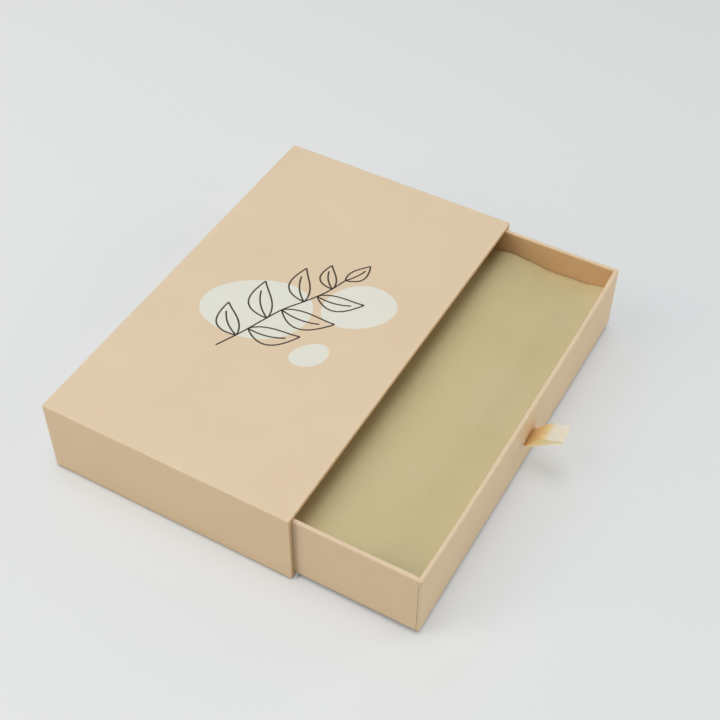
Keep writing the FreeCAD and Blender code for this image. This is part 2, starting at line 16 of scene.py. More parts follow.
import bmesh
import bpy
import numpy as np
from mathutils import Matrix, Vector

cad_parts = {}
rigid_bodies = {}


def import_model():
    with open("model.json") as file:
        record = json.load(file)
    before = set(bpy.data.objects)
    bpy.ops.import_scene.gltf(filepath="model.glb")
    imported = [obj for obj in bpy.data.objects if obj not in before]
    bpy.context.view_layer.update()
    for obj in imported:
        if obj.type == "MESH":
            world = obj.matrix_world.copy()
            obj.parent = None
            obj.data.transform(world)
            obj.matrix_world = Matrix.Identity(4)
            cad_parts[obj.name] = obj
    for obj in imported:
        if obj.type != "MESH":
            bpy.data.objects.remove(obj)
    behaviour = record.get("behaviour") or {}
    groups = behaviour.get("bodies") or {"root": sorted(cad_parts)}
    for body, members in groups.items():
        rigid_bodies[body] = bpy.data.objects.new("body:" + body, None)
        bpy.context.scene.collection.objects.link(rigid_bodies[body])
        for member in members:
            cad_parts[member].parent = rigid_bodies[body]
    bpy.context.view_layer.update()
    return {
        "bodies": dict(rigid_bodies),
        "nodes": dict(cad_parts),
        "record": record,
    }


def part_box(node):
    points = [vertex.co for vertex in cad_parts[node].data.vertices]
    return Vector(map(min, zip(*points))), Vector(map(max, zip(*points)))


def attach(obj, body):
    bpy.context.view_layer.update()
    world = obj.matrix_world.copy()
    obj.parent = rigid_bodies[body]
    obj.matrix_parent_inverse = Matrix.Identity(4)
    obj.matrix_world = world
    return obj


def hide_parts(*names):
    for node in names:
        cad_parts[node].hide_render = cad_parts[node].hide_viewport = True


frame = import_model()

log = logging.getLogger("gift_box")

MM = 0.001
ARC_STEPS = 6  # the fewest steps round a bend of a line
CORNER_STEPS = 6  # the steps round a corner of an outline
BESIDE_BEND = 0.35  # how far a point stands beside a bend, as a share of the bend's size
SHARPEST = 0.12  # what a corner keeps of its radius where it is sharpest
SAME_POINT = 0.001 * MM  # points that are nearer than this are one

Array = np.ndarray
Colour = tuple[float, float, float]
Socket = bpy.types.NodeSocket


class Body(Enum):
    """The bodies that pieces ride on."""

    SLEEVE = "sleeve"
    TRAY = "tray"


class Slot(Enum):
    """The record's material slots."""

    WRAP = "peach_wrap"
    LINING = "lining_paper"
    COVER = "cover_paper"
    BOARD = "greyboard"
    STAY = "gummed_stay"
    RIBBON = "gold_ribbon"
    PAD = "pad_foam"
    SHEET = "kraft_tissue"


class Side(Enum):
    """The four sides of an outline, in the order that its columns run round it."""

    LOW_B = 0
    HIGH_A = 1
    HIGH_B = 2
    LOW_A = 3


class Axes(Enum):
    """Which frame axes an outline's two axes and its profile's rise stand for."""

    PLAN = (0, 1, 2)
    FRONT_ON = (1, 2, 0)


Finishes = dict[Slot, bpy.types.Material]


# Small sums that several pieces share

def ease(value: Array, start: float, width: float) -> Array:
    """Ease from 0 at a start to 1 a width further on, as 3 t squared less 2 t cubed."""
    share = np.clip((value - start) / width, 0.0, 1.0)
    return share * share * (3.0 - 2.0 * share)


def between(value: Array, low: float, high: float) -> Array:
    """Tell which values lie between two limits."""
    return (value > low) & (value < high)


def run_along(spots: Array) -> Array:
    """Give how far along a line each of its points lies."""
    return np.concatenate([[0.0], np.cumsum(np.linalg.norm(np.diff(spots, axis=0), axis=1))])


def middle_and_half(node: str) -> tuple[Array, Array]:
    """Give the middle and the half sizes of a node's box."""
    low, high = (np.array(corner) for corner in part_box(node))
    return (high + low) / 2.0, (high - low) / 2.0


def linear_colour(red: int, green: int, blue: int) -> Colour:
    """Turn a screen colour of 0 to 255 into linear light, by the usual gamma formula.

    Args:
        red: The red share, 0 to 255.
        green: The green share, 0 to 255.
        blue: The blue share, 0 to 255.

    Returns:
        The three linear shares, each from 0 to 1.
    """
    shares = np.array([red, green, blue]) / 255.0
    linear = np.where(shares <= 0.04045, shares / 12.92, ((shares + 0.055) / 1.055) ** 2.4)
    return tuple(float(share) for share in linear)


@dataclass(frozen=True)
class Ripple:
    """A gentle unevenness of a face: a sum of sine waves in fixed random directions.

    The height at a point is the mean of waves sin(k . p + phase), times the height and the
    root of their number. Each k has a random direction and a wavelength between the
    shortest and the longest.
    """

    seed: int
    height: float
    shortest: float
    longest: float
    waves: int = 9

    def at(self, points: Array) -> Array:
        """Give the height at each point.

        Args:
            points: Points, with three coordinates on the last axis.

        Returns:
            One height for each point.
        """
        draw = np.random.default_rng(self.seed)
        ways = draw.normal(size=(self.waves, 3))
        ways /= np.linalg.norm(ways, axis=1, keepdims=True)
        lengths = draw.uniform(self.shortest, self.longest, size=self.waves)
        phases = draw.uniform(0.0, 2.0 * math.pi, size=self.waves)
        turns = points @ (ways * (2.0 * math.pi / lengths)[:, None]).T + phases
        return self.height * np.sin(turns).mean(axis=-1) * math.sqrt(self.waves)


# Meshes and pieces

def grid_quads(rows: int, columns: int, closed: bool = False) -> Array:
    """List the quads of a grid of points that is numbered row by row.

    Args:
        rows: How many rows of points there are.
        columns: How many points a row has.
        closed: Whether the last column joins the first.

    Returns:
        Quads as rows of four indices. They face the way that the column direction
        crossed with the row direction points.
    """
    across = columns if closed else columns - 1
    row, column = np.meshgrid(np.arange(rows - 1), np.arange(across), indexing="ij")
    start, after = row * columns + column, row * columns + (column + 1) % columns
    return np.stack([start, after, after + columns, start + columns], axis=-1).reshape(-1, 4)


def add_object(name: str, data: bpy.types.ID) -> bpy.types.Object:
    """Make an object of a mesh, a camera or a lamp, and link it to the scene.

    Args:
        name: The object's name.
        data: Its mesh, camera or lamp.

    Returns:
        The new object.
    """
    thing = bpy.data.objects.new(name, data)
    bpy.context.scene.collection.objects.link(thing)
    return thing


def build_object(
    name: str,
    points: Array,
    quads: Array,
    masks: dict[str, Array] | None = None,
    uv: Array | None = None,
) -> bpy.types.Object:
    """Put points and quads into a new smooth-shaded mesh object, without unused points.

    Args:
        name: The object's name.
        points: Points, with three coordinates on the last axis.
        quads: Faces, as rows of four indices.
        masks: Values for each point, kept as attributes under their names.
        uv: A place on the flat sheet for each point.

    Returns:
        The new object, linked to the scene.
    """
    used, renumbered = np.unique(quads, return_inverse=True)
    places = points.reshape(-1, 3)[used]
    mesh = bpy.data.meshes.new(name)
    mesh.from_pydata(places.tolist(), [], renumbered.reshape(quads.shape).tolist())
    for label, values in (masks or {}).items():
        attribute = mesh.attributes.new(label, "FLOAT", "POINT")
        attribute.data.foreach_set("value", values.reshape(-1)[used].astype(np.float32))
    if uv is not None:
        layer = mesh.uv_layers.new(name="flat")
        corner = np.zeros(len(mesh.loops), np.int32)
        mesh.loops.foreach_get("vertex_index", corner)
        layer.data.foreach_set("uv", uv.reshape(-1, 2)[used][corner].astype(np.float32).ravel())
    mesh.shade_smooth()
    mesh.validate()
    return add_object(name, mesh)


def thicken(piece: bpy.types.Object, thickness: float, offset: float = -1.0) -> None:
    """Give a surface its thickness with a Solidify modifier.

    Args:
        piece: The object to thicken.
        thickness: The sheet's thickness.
        offset: Which side grows: -1 the back, 0 both and 1 the front.
    """
    solid = piece.modifiers.new("thickness", "SOLIDIFY")
    solid.thickness = thickness
    solid.offset = offset
    solid.use_even_offset = True


def wear_finish(piece: bpy.types.Object, material: bpy.types.Material) -> None:
    """Give a new piece its only material."""
    piece.data.materials.clear()
    piece.data.materials.append(material)


def place_piece(
    piece: bpy.types.Object,
    material: bpy.types.Material,
    body: Body,
    nodes: Sequence[str] = (),
) -> None:
    """Finish a piece and let it ride on its body, in place of its nodes.

    Args:
        piece: The new object.
        material: Its material.
        body: The body that it moves with.
        nodes: The nodes that it stands for.
    """
    wear_finish(piece, material)
    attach(piece, body.value)
    if nodes:
        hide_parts(*nodes)
    log.info("%s: %d faces on %s", piece.name, len(piece.data.polygons), body.value)


# Folded papers: a section carried round an outline

@dataclass(frozen=True)
class BentLine:
    """A line in a plane, straight between its corners and bent round each one.

    Spots are its points, ways the unit direction at each, bend the distance along it to
    the nearest bend and run the length so far.
    """

    spots: Array
    ways: Array
    bend: Array
    run: Array

    @classmethod
    def through(
        cls,
        corners: Sequence[tuple[float, float]],
        radii: Sequence[float],
        step: float,
        levels: Sequence[float] = (),
    ) -> BentLine:
        """Bend a line round its inner corners, each with an arc of its own radius.

        An arc about a corner starts and ends a setback away from it: the radius times the
        tangent of half the turn. Its point at share t lies at the arc's centre, plus the
        radius in the direction that has turned by t of the angle. A point stands close to
        each arc, so that the straight stretch beside it shades flat.

        Args:
            corners: The corners, with the two ends, as pairs of places in the plane.
            radii: The radius at each inner corner.
            step: The widest gap between points.
            levels: Values of the second place at which a point is wanted.

        Returns:
            The bent line.
        """
        places = np.array(corners, float)
        legs = np.diff(places, axis=0)
        lengths = np.linalg.norm(legs, axis=1)
        ways = legs / lengths[:, None]
        cross = ways[:-1, 0] * ways[1:, 1] - ways[:-1, 1] * ways[1:, 0]
        turns = np.arctan2(cross, (ways[:-1] * ways[1:]).sum(axis=1))
        setbacks = np.concatenate([[0.0], np.array(radii) * np.tan(np.abs(turns) / 2.0), [0.0]])
        parts: list[tuple[Array, Array, Array]] = []
        for index, (start, way, length) in enumerate(zip(places, ways, lengths)):
            first, last = setbacks[index], length - setbacks[index + 1]
            near = BESIDE_BEND * max(setbacks[index], setbacks[index + 1])
            even = np.linspace(first, last, max(2, int(math.ceil((last - first) / step)) + 1))
            wanted = [(level - start[1]) / way[1] for level in levels if abs(way[1]) > 0.5]
            marks = np.concatenate([even, [first + near, last - near], wanted])
            marks = np.unique(np.round(marks[(marks >= first) & (marks <= last)], 8))
            to_first = marks - first if index else np.full(len(marks), np.inf)
            to_last = last - marks if index < len(turns) else np.full(len(marks), np.inf)
            headings = np.repeat([way], len(marks), axis=0)
            parts.append((start + marks[:, None] * way, headings, np.minimum(to_first, to_last)))
            if index < len(turns):
                radius, turn = radii[index], turns[index]
                inward = np.array([-way[1], way[0]]) * math.copysign(1.0, turn)
                count = max(ARC_STEPS, int(math.ceil(abs(turn) * radius / step)))
                angles = np.linspace(0.0, abs(turn), count + 1)[1:-1, None]
                centre = places[index + 1] - way * setbacks[index + 1] + inward * radius
                arc = centre - inward * radius * np.cos(angles) + way * radius * np.sin(angles)
                headings = way * np.cos(angles) + inward * np.sin(angles)
                parts.append((arc, headings, np.zeros(count - 1)))
        spots, headings, bends = (np.concatenate(part) for part in zip(*parts))
        return cls(spots, headings, bends, run_along(spots))


@dataclass(frozen=True)
class Section:
    """A folded paper's section, as points with the way that each one faces.

    Inset is how far a point lies inside the outline, and rise is its place on the axis
    that the outline doesn't use. Fold is the distance along the paper to the nearest fold.
    """

    inset: Array
    rise: Array
    out: Array
    up: Array
    fold: Array

    @classmethod
    def folded(
        cls,
        corners: Sequence[tuple[float, float]],
        radii: Sequence[float],
        levels: Sequence[float],
        step: float,
    ) -> Section:
        """Fold a section over corners of inset and rise, with rows at the levels, at most a step apart."""
        line = BentLine.through(corners, radii, step, levels)
        return cls(line.spots[:, 0], line.spots[:, 1], line.ways[:, 1], line.ways[:, 0], line.bend)


@dataclass(frozen=True)
class Columns:
    """The columns of points round an outline, counter-clockwise from the start of its first side.

    Share and face have two values a column. Side is the side's number, along the signed
    place on the side and reach the distance from the nearest corner of the outline.
    """

    share: Array
    face: Array
    side: Array
    along: Array
    reach: Array


@dataclass(frozen=True)
class Outline:
    """A rounded rectangle that a section is carried round.

    A column holds its share of the straight half sides and the way that it faces, so
    that its point at any inset lies at share times (half side - inset - corner radius),
    plus the corner radius times the way it faces.
    """

    middle: tuple[float, float]
    half: tuple[float, float]
    radius: float
    inner_radius: float
    wall: float
    step: float
    lines: dict[Side, Sequence[float]] = field(default_factory=dict)

    def columns(self) -> Columns:
        """Work out the columns: each side's straight stretch, and the corner that follows it.

        Returns:
            The columns.
        """
        parts: list[tuple[Array, ...]] = []
        for side in Side:
            number = side.value
            half = self.half[number % 2]
            straight = half - self.radius
            even = np.linspace(-straight, straight, int(math.ceil(2 * straight / self.step)) + 1)
            close = straight - BESIDE_BEND * self.radius
            marks = np.concatenate([even, [-close, close], np.array(self.lines.get(side, ()), float)])
            marks = np.unique(np.round(marks, 8))[:: 1 if number < 2 else -1]
            angle = (number - 1) * math.pi / 2.0
            normal = np.round([math.cos(angle), math.sin(angle)], 12)
            shares = np.repeat([np.where(np.abs(normal) > 0.5, normal, 0.0)], len(marks), axis=0)
            shares[:, number % 2] = marks / straight
            faces = np.repeat([normal], len(marks), axis=0)
            parts.append((shares, faces, np.full(len(marks), number), marks, half - np.abs(marks)))
            turn = angle + np.linspace(0.0, math.pi / 2.0, CORNER_STEPS + 1)[1:-1]
            diagonal = angle + math.pi / 4.0
            corner = np.sign([math.cos(diagonal), math.sin(diagonal)])
            shares = np.repeat([corner], len(turn), axis=0)
            faces = np.stack([np.cos(turn), np.sin(turn)], axis=1)
            end = np.full(len(turn), half if number < 2 else -half)
            parts.append((shares, faces, np.full(len(turn), number), end, np.zeros(len(turn))))
        return Columns(*(np.concatenate(part) for part in zip(*parts)))

    def corner_radius(self, inset: Array) -> Array:
        """Give the corner radius at each inset: it shrinks with the outer fold, then opens inside."""
        insets = [0.0, (1.0 - SHARPEST) * self.radius, self.wall]
        return np.interp(inset, insets, [self.radius, SHARPEST * self.radius, self.inner_radius])


@dataclass
class FoldedPaper:
    """A paper that is folded round a box: a section carried round an outline.

    The point in row j and column i is the column's place at the row's inset, at the
    row's rise. Its normal is the column's way times the row's outward share, plus the
    rise axis times the row's upward share. Relief moves the points along it.
    """

    section: Section
    outline: Outline
    axes: Axes

    def __post_init__(self) -> None:
        """Work out the points, normals and the places that reliefs and masks are read from."""
        section, columns = self.section, self.outline.columns()
        self.shape = (len(section.rise), len(columns.side))
        self.side, self.along, self.reach = (
            np.broadcast_to(values, self.shape) for values in (columns.side, columns.along, columns.reach)
        )
        face = columns.face[None]
        radius = self.outline.corner_radius(section.inset)[:, None, None]
        straight = np.array(self.outline.half) - section.inset[:, None, None] - radius
        flat = columns.share[None] * straight + radius * face + np.array(self.outline.middle)
        tangent = np.stack([-face[..., 1], face[..., 0]], axis=-1)
        self.points = self.in_frame(flat, section.rise)
        self.normals = self.in_frame(section.out[:, None, None] * face, section.up)
        self.tangents = self.in_frame(tangent, np.zeros_like(section.rise))

    def in_frame(self, flat: Array, rise: Array) -> Array:
        """Put the outline's two axes and each row's rise on the frame axes that they stand for.

        Args:
            flat: Two values for each point, or for each column.
            rise: One value for each row.

        Returns:
            Three values for each point, in the frame's axes.
        """
        *across, up = self.axes.value
        placed = np.empty((*self.shape, 3))
        placed[..., across] = flat
        placed[..., up] = rise[:, None]
        return placed

    def raise_by(self, relief: Array) -> None:
        """Move every point along its normal by its own height."""
        self.points = self.points + relief[..., None] * self.normals

    def off_base(self, width: float) -> Array:
        """Give 0 on the flaps that the section starts with, and 1 a width above their fold."""
        share = ease(self.section.rise, self.section.rise[0] + self.outline.radius, width)
        return np.broadcast_to(share[:, None], self.shape)

    def fold_mask(self, width: float) -> Array:
        """Give 1 on a fold, falling off smoothly to 0 a width away from it.

        Args:
            width: How far from a fold the mask reaches.

        Returns:
            One value for each point.
        """
        outer = self.section.out[:, None] > 0.5
        by_column = np.where(outer, self.reach - self.outline.radius, np.inf)
        nearest = np.minimum(self.section.fold[:, None], np.maximum(by_column, 0.0))
        return 1.0 - ease(nearest, 0.0, width)

    def face_middles(self) -> tuple[Array, Array, Array]:
        """Give the X, Y and Z of each face's middle, as the mean of its four corners.

        Returns:
            Three arrays, one value in each for a face.
        """
        following = np.roll(self.points, -1, axis=1)
        corners = self.points[:-1] + self.points[1:] + following[:-1] + following[1:]
        return tuple(np.moveaxis(corners / 4.0, -1, 0))

    def build(self, name: str, masks: dict[str, Array], hole: Array) -> bpy.types.Object:
        """Make the mesh object with its masks, without the faces that are true in the hole."""
        quads = grid_quads(*self.shape, closed=True)
        return build_object(name, self.points, quads[~hole.reshape(-1)], masks)


# Node trees

class Graph:
    """Adds nodes to a shader tree and links them."""

    def __init__(self, tree: bpy.types.NodeTree) -> None:
        """Start on a tree."""
        self.tree = tree

    def add(
        self, kind: str, inputs: dict[str | int, object] | None = None, **settings: object
    ) -> bpy.types.Node:
        """Add a node, with its settings, and give each named input a value or a link.

        Args:
            kind: The node's type name.
            inputs: A value, or an output socket to link, for each input.
            **settings: Properties of the node.

        Returns:
            The new node.
        """
        node = self.tree.nodes.new(kind)
        for label, value in settings.items():
            setattr(node, label, value)
        for label, value in (inputs or {}).items():
            self.feed(node.inputs[label], value)
        return node

    def feed(self, socket: Socket, value: object) -> None:
        """Link an output to a socket, or set the socket's own value.

        Args:
            socket: The input socket.
            value: An output to link, or a value. Three shares make a colour.
        """
        if isinstance(value, Socket):
            self.tree.links.new(value, socket)
        elif isinstance(value, tuple) and len(value) == 3 and socket.type == "RGBA":
            socket.default_value = (*value, 1.0)
        else:
            socket.default_value = value

    def math(self, operation: str, first: object, second: object = 0.0) -> Socket:
        """Add a Math node and give its output."""
        return self.add("ShaderNodeMath", {0: first, 1: second}, operation=operation).outputs[0]

    def plus(self, first: object, second: object) -> Socket:
        """Add two values."""
        return self.math("ADD", first, second)

    def minus(self, first: object, second: object) -> Socket:
        """Take the second value from the first."""
        return self.math("SUBTRACT", first, second)

    def times(self, first: object, second: object) -> Socket:
        """Multiply two values."""
        return self.math("MULTIPLY", first, second)

    def span(
        self, value: object, low: float, high: float, to_low: float = 0.0, to_high: float = 1.0
    ) -> Socket:
        """Map a value smoothly from one range to another and give the output."""
        inputs = {"Value": value, "From Min": low, "From Max": high, "To Min": to_low, "To Max": to_high}
        return self.add("ShaderNodeMapRange", inputs, interpolation_type="SMOOTHSTEP").outputs["Result"]

    def blend(self, share: object, first: object, second: object, mode: str = "MIX") -> Socket:
        """Mix two colours by a share and give the output."""
        node = self.add("ShaderNodeMix", {0: share, 6: first, 7: second}, data_type="RGBA", blend_type=mode)
        return node.outputs[2]

    def noise(self, vector: object, scale: object, detail: float = 2.0, roughness: float = 0.5) -> Socket:
        """Add a noise texture and give its value."""
        inputs = {"Vector": vector, "Scale": scale, "Detail": detail, "Roughness": roughness}
        return self.add("ShaderNodeTexNoise", inputs).outputs[0]

    def place(self) -> Socket:
        """Give the place on the piece, in its own coordinates."""
        return self.add("ShaderNodeTexCoord").outputs["Object"]

    def mask(self, name: str) -> Socket:
        """Give the value of one of the mesh's masks."""
        return self.add("ShaderNodeAttribute", attribute_name=name).outputs["Fac"]

    def bump(self, shader: bpy.types.Node, height: Socket, distance: float, strength: float = 1.0) -> None:
        """Let a height bend a shader's normal."""
        node = self.add("ShaderNodeBump", {"Height": height, "Distance": distance, "Strength": strength})
        self.feed(shader.inputs["Normal"], node.outputs[0])

    def seen_share(self) -> Socket:
        """Give 1 for the rays that show a thing in the picture, in gloss or through glass.

        Returns:
            The output that holds the share.
        """
        path = self.add("ShaderNodeLightPath").outputs
        through = self.math("MAXIMUM", path["Is Glossy Ray"], path["Is Transmission Ray"])
        return self.math("MAXIMUM", path["Is Camera Ray"], through)


def new_material(name: str) -> tuple[bpy.types.Material, Graph, bpy.types.Node]:
    """Start a material that uses nodes.

    Args:
        name: The material's name.

    Returns:
        The material, a graph on its tree and its Principled shader.
    """
    material = bpy.data.materials.new(name)
    material.use_nodes = True
    return material, Graph(material.node_tree), material.node_tree.nodes["Principled BSDF"]


def new_group(name: str, inputs: dict[str, float], outputs: Sequence[str]) -> tuple[Graph, dict, dict]:
    """Make a shader node group with named float inputs and outputs.

    Args:
        name: The group's name.
        inputs: Each input's name and default value.
        outputs: Each output's name.

    Returns:
        A graph on the group's tree, its input sockets by name and its output sockets by name.
    """
    tree = bpy.data.node_groups.new(name, "ShaderNodeTree")
    for label, value in inputs.items():
        socket = tree.interface.new_socket(label, in_out="INPUT", socket_type="NodeSocketFloat")
        socket.default_value = value
    for label in outputs:
        tree.interface.new_socket(label, in_out="OUTPUT", socket_type="NodeSocketFloat")
    entry = tree.nodes.new("NodeGroupInput")
    leave = tree.nodes.new("NodeGroupOutput")
    return Graph(tree), entry.outputs, leave.inputs


class Effects:
    """The shader node groups that more than one finish uses, each built once."""

    def __init__(self) -> None:
        """Build the groups."""
        self.fibre = self.build_fibre()
        self.wear_and_painted_light = self.build_wear_and_painted_light()
        self.weave = self.build_weave()

    def build_fibre(self) -> bpy.types.NodeTree:
        """Paper: clouds of tone, a fine tooth and short fibres that lie every way.

        Returns:
            The node group.
        """
        inputs = {"Fibre Scale": 900.0, "Cloud Scale": 30.0, "Cloud": 0.5, "Tooth": 0.5}
        graph, given, result = new_group("paper_fibre", inputs, ["Tone", "Height"])
        place = graph.place()
        clouds = graph.noise(place, given["Cloud Scale"], 3.0, 0.55)
        flecks = graph.noise(place, graph.times(given["Cloud Scale"], 6.5), 2.0, 0.6)
        tooth = graph.noise(place, given["Fibre Scale"], 3.0, 0.6)
        stretched = (
            graph.add("ShaderNodeMapping", {"Vector": place, "Scale": scale}).outputs[0]
            for scale in ((0.22, 1.0, 1.0), (1.0, 0.22, 1.0))
        )
        fibres = graph.math(
            "MAXIMUM", *(graph.noise(vector, given["Fibre Scale"], 1.0) for vector in stretched)
        )
        cloud_part = graph.times(graph.minus(clouds, 0.5), given["Cloud"])
        fleck_part = graph.times(graph.minus(flecks, 0.5), given["Tooth"])
        graph.feed(result["Tone"], graph.plus(cloud_part, graph.times(fleck_part, 0.35)))
        height = graph.plus(graph.times(tooth, 0.6), graph.times(fibres, 0.7))
        graph.feed(result["Height"], graph.times(height, given["Tooth"]))
        return graph.tree

    def build_wear_and_painted_light(self) -> bpy.types.NodeTree:
        """Folds and seams: a lighter tone on folds, part rubbing and part painted highlight, and a dark
        line on seams that also carries painted shade, both broken up along their length.

        Returns:
            The node group.
        """
        inputs = {"Fold": 0.0, "Seam": 0.0, "Patch Scale": 140.0}
        graph, given, result = new_group("fold_wear_and_painted_light", inputs, ["Rub", "Line"])
        place = graph.place()
        broken = graph.span(graph.noise(place, given["Patch Scale"], 3.0, 0.6), 0.32, 0.68, 0.35, 1.0)
        graph.feed(result["Rub"], graph.times(given["Fold"], broken))
        finer = graph.noise(place, graph.times(given["Patch Scale"], 2.0))
        worn = graph.span(finer, 0.25, 0.7, 0.55, 1.0)
        graph.feed(result["Line"], graph.times(given["Seam"], worn))
        return graph.tree

    def build_weave(self) -> bpy.types.NodeTree:
        """Ribbon: fine lengthwise threads, crossed by finer ones, read from the flat strip.

        Returns:
            The node group.
        """
        inputs = {"Warp": 90.0, "Weft": 500.0}
        graph, given, result = new_group("ribbon_weave", inputs, ["Thread", "Height"])
        place = graph.add("ShaderNodeUVMap", uv_map="flat").outputs[0]
        parts = graph.add("ShaderNodeSeparateXYZ", {0: place}).outputs
        warp, weft = (
            graph.math("SINE", graph.times(parts[axis], graph.times(given[threads], 2.0 * math.pi)))
            for axis, threads in enumerate(inputs)
        )
        uneven = graph.minus(graph.noise(place, 40.0), 0.5)
        graph.feed(result["Height"], graph.plus(graph.times(warp, 0.6), graph.times(weft, 0.25)))
        graph.feed(result["Thread"], graph.plus(graph.times(warp, 0.5), uneven))
        return graph.tree


# Finishes

@dataclass(frozen=True)
class PaperFinish:
    """A coated or uncoated paper, with its fibre and tooth, lighter folds that are part rubbing and part
    painted highlight, and painted shade on its inward faces.
    """

    name: str
    colour: Colour
    shade: Colour
    roughness: float = 0.5
    rough_range: float = 0.05
    shine: float = 0.32
    contrast: float = 1.6
    fibre_scale: float = 1500.0
    cloud_scale: float = 22.0
    cloud: float = 0.5
    tooth: float = 0.5
    bump: float = 0.00001
    # Lighter folds: part rubbed wear, part painted highlight.
    rub_and_highlight: Colour | None = None
    rub_and_highlight_share: float = 0.08
    line: Colour | None = None
    # A colour that multiplies the faces marked inside: painted shade for the dim light inside the box.
    inside: Colour | None = None

    def material(self, effects: Effects) -> bpy.types.Material:
        """Build the paper's material.

        Args:
            effects: The shared node groups.

        Returns:
            The new material.
        """
        material, graph, shader = new_material(self.name)
        inputs = {
            "Fibre Scale": self.fibre_scale,
            "Cloud Scale": self.cloud_scale,
            "Cloud": self.cloud,
            "Tooth": self.tooth,
        }
        fibre = graph.add("ShaderNodeGroup", inputs, node_tree=effects.fibre).outputs
        tone = graph.plus(graph.times(fibre["Tone"], self.contrast), 0.5)
        colour = graph.blend(graph.span(tone, 0.0, 1.0), self.shade, self.colour)
        # Painted shade: the inward faces, and part of the sleeve's mouth face, are multiplied darker and
        # warmer.
        if self.inside is not None:
            colour = graph.blend(graph.mask("inside"), colour, self.inside, "MULTIPLY")
        # Lighter folds, part wear and part painted highlight.
        if self.rub_and_highlight is not None:
            masks = {"Fold": graph.mask("fold"), "Seam": graph.mask("seam")}
            wear_and_painted_light = graph.add("ShaderNodeGroup", masks, node_tree=effects.wear_and_painted_light).outputs
            colour = graph.blend(graph.times(wear_and_painted_light["Rub"], self.rub_and_highlight_share), colour, self.rub_and_highlight)
            # The dark line on seams, which also carries the painted shade along the tray's base fold.
            colour = graph.blend(wear_and_painted_light["Line"], colour, self.line)
        graph.feed(shader.inputs["Base Color"], colour)
        rough = (self.roughness + self.rough_range, self.roughness - self.rough_range)
        graph.feed(shader.inputs["Roughness"], graph.span(tone, 0.0, 1.0, *rough))
        shader.inputs["Specular IOR Level"].default_value = self.shine
        graph.bump(shader, fibre["Height"], self.bump)
        return material


@dataclass(frozen=True)
class RibbonFinish:
    """A thin satin ribbon that lets some light through, deeper in colour towards its root, with painted
    shade where it leaves the slot, a painted sheen on its threads and a painted glow that is strongest on
    its lower ply.

    Each pair says over which stretch of the loop's reach a change comes in, as shares of it.
    """

    name: str
    tip: Colour
    middle: Colour
    root: Colour
    # The lower ply's colour, lightened as painted light on its shaded inside.
    under: Colour
    slot_shade: Colour
    gleam: Colour = (1.0, 0.97, 0.88)
    to_middle: tuple[float, float] = (0.08, 0.5)
    to_tip: tuple[float, float] = (0.4, 0.66)
    to_under: tuple[float, float] = (0.02, 0.18)
    from_slot: tuple[float, float] = (0.005, 0.06)
    to_clear: tuple[float, float] = (0.1, 0.9)
    clearness: float = 0.3
    gleam_share: float = 0.16
    roughness: float = 0.42
    sheen: float = 0.2
    # The strength of the painted glow, and the share of it on the upper ply.
    painted_glow: float = 0.24
    upper_painted_glow: float = 0.35
    bump: float = 0.00003

    def material(self, effects: Effects) -> bpy.types.Material:
        """Build the ribbon's material.

        Args:
            effects: The shared node groups.

        Returns:
            The new material.
        """
        material, graph, shader = new_material(self.name)
        weave = graph.add("ShaderNodeGroup", node_tree=effects.weave).outputs
        reach, under = graph.mask("reach"), graph.mask("under")
        colour = graph.blend(graph.span(reach, *self.to_middle), self.root, self.middle)
        colour = graph.blend(graph.span(reach, *self.to_tip), colour, self.tip)
        # Painted light: the lower ply turns to its lighter colour.
        colour = graph.blend(graph.times(under, graph.span(reach, *self.to_under)), colour, self.under)
        # Painted shade where the ribbon leaves the slot.
        colour = graph.blend(graph.span(reach, *self.from_slot), self.slot_shade, colour)
        # Painted sheen along the threads.
        light = graph.span(weave["Thread"], -0.7, 0.7)
        colour = graph.blend(graph.times(light, self.gleam_share), colour, self.gleam)
        graph.feed(shader.inputs["Base Color"], colour)
        # Painted glow: the ribbon emits its own colour, most on the lower ply, for the light that passes
        # through it.
        painted_glow_share = graph.span(under, 0.0, 1.0, self.upper_painted_glow, 1.0)
        graph.feed(shader.inputs["Emission Color"], graph.blend(painted_glow_share, (0.0, 0.0, 0.0), colour))
        clear = graph.times(graph.span(reach, *self.to_clear), self.clearness)
        graph.feed(shader.inputs["Alpha"], graph.minus(1.0, clear))
        shader.inputs["Emission Strength"].default_value = self.painted_glow
        shader.inputs["Roughness"].default_value = self.roughness
        shader.inputs["Sheen Weight"].default_value = self.sheen
        graph.bump(shader, weave["Height"], self.bump)
        return material


@dataclass(frozen=True)
class FoamFinish:
    """A soft open foam, with small cells and faint clouds."""

    name: str
    colour: Colour
    shade: Colour
    cell_scale: float = 900.0
    cell_share: float = 0.8
    roughness: float = 0.9
    bump: float = 0.0003
    bump_strength: float = 0.6

    def material(self, effects: Effects) -> bpy.types.Material:
        """Build the foam's material.

        Args:
            effects: The shared node groups.

        Returns:
            The new material.
        """
        material, graph, shader = new_material(self.name)
        inputs = {"Vector": graph.place(), "Scale": self.cell_scale}
        cells = graph.add("ShaderNodeTexVoronoi", inputs).outputs["Distance"]
        fibre = graph.add("ShaderNodeGroup", node_tree=effects.fibre).outputs
        share = graph.plus(graph.times(cells, self.cell_share), fibre["Tone"])
        graph.feed(
            shader.inputs["Base Color"], graph.blend(graph.span(share, 0.0, 0.9), self.shade, self.colour)
        )
        shader.inputs["Roughness"].default_value = self.roughness
        graph.bump(shader, cells, self.bump, self.bump_strength)
        return material


# Sleeve and tray

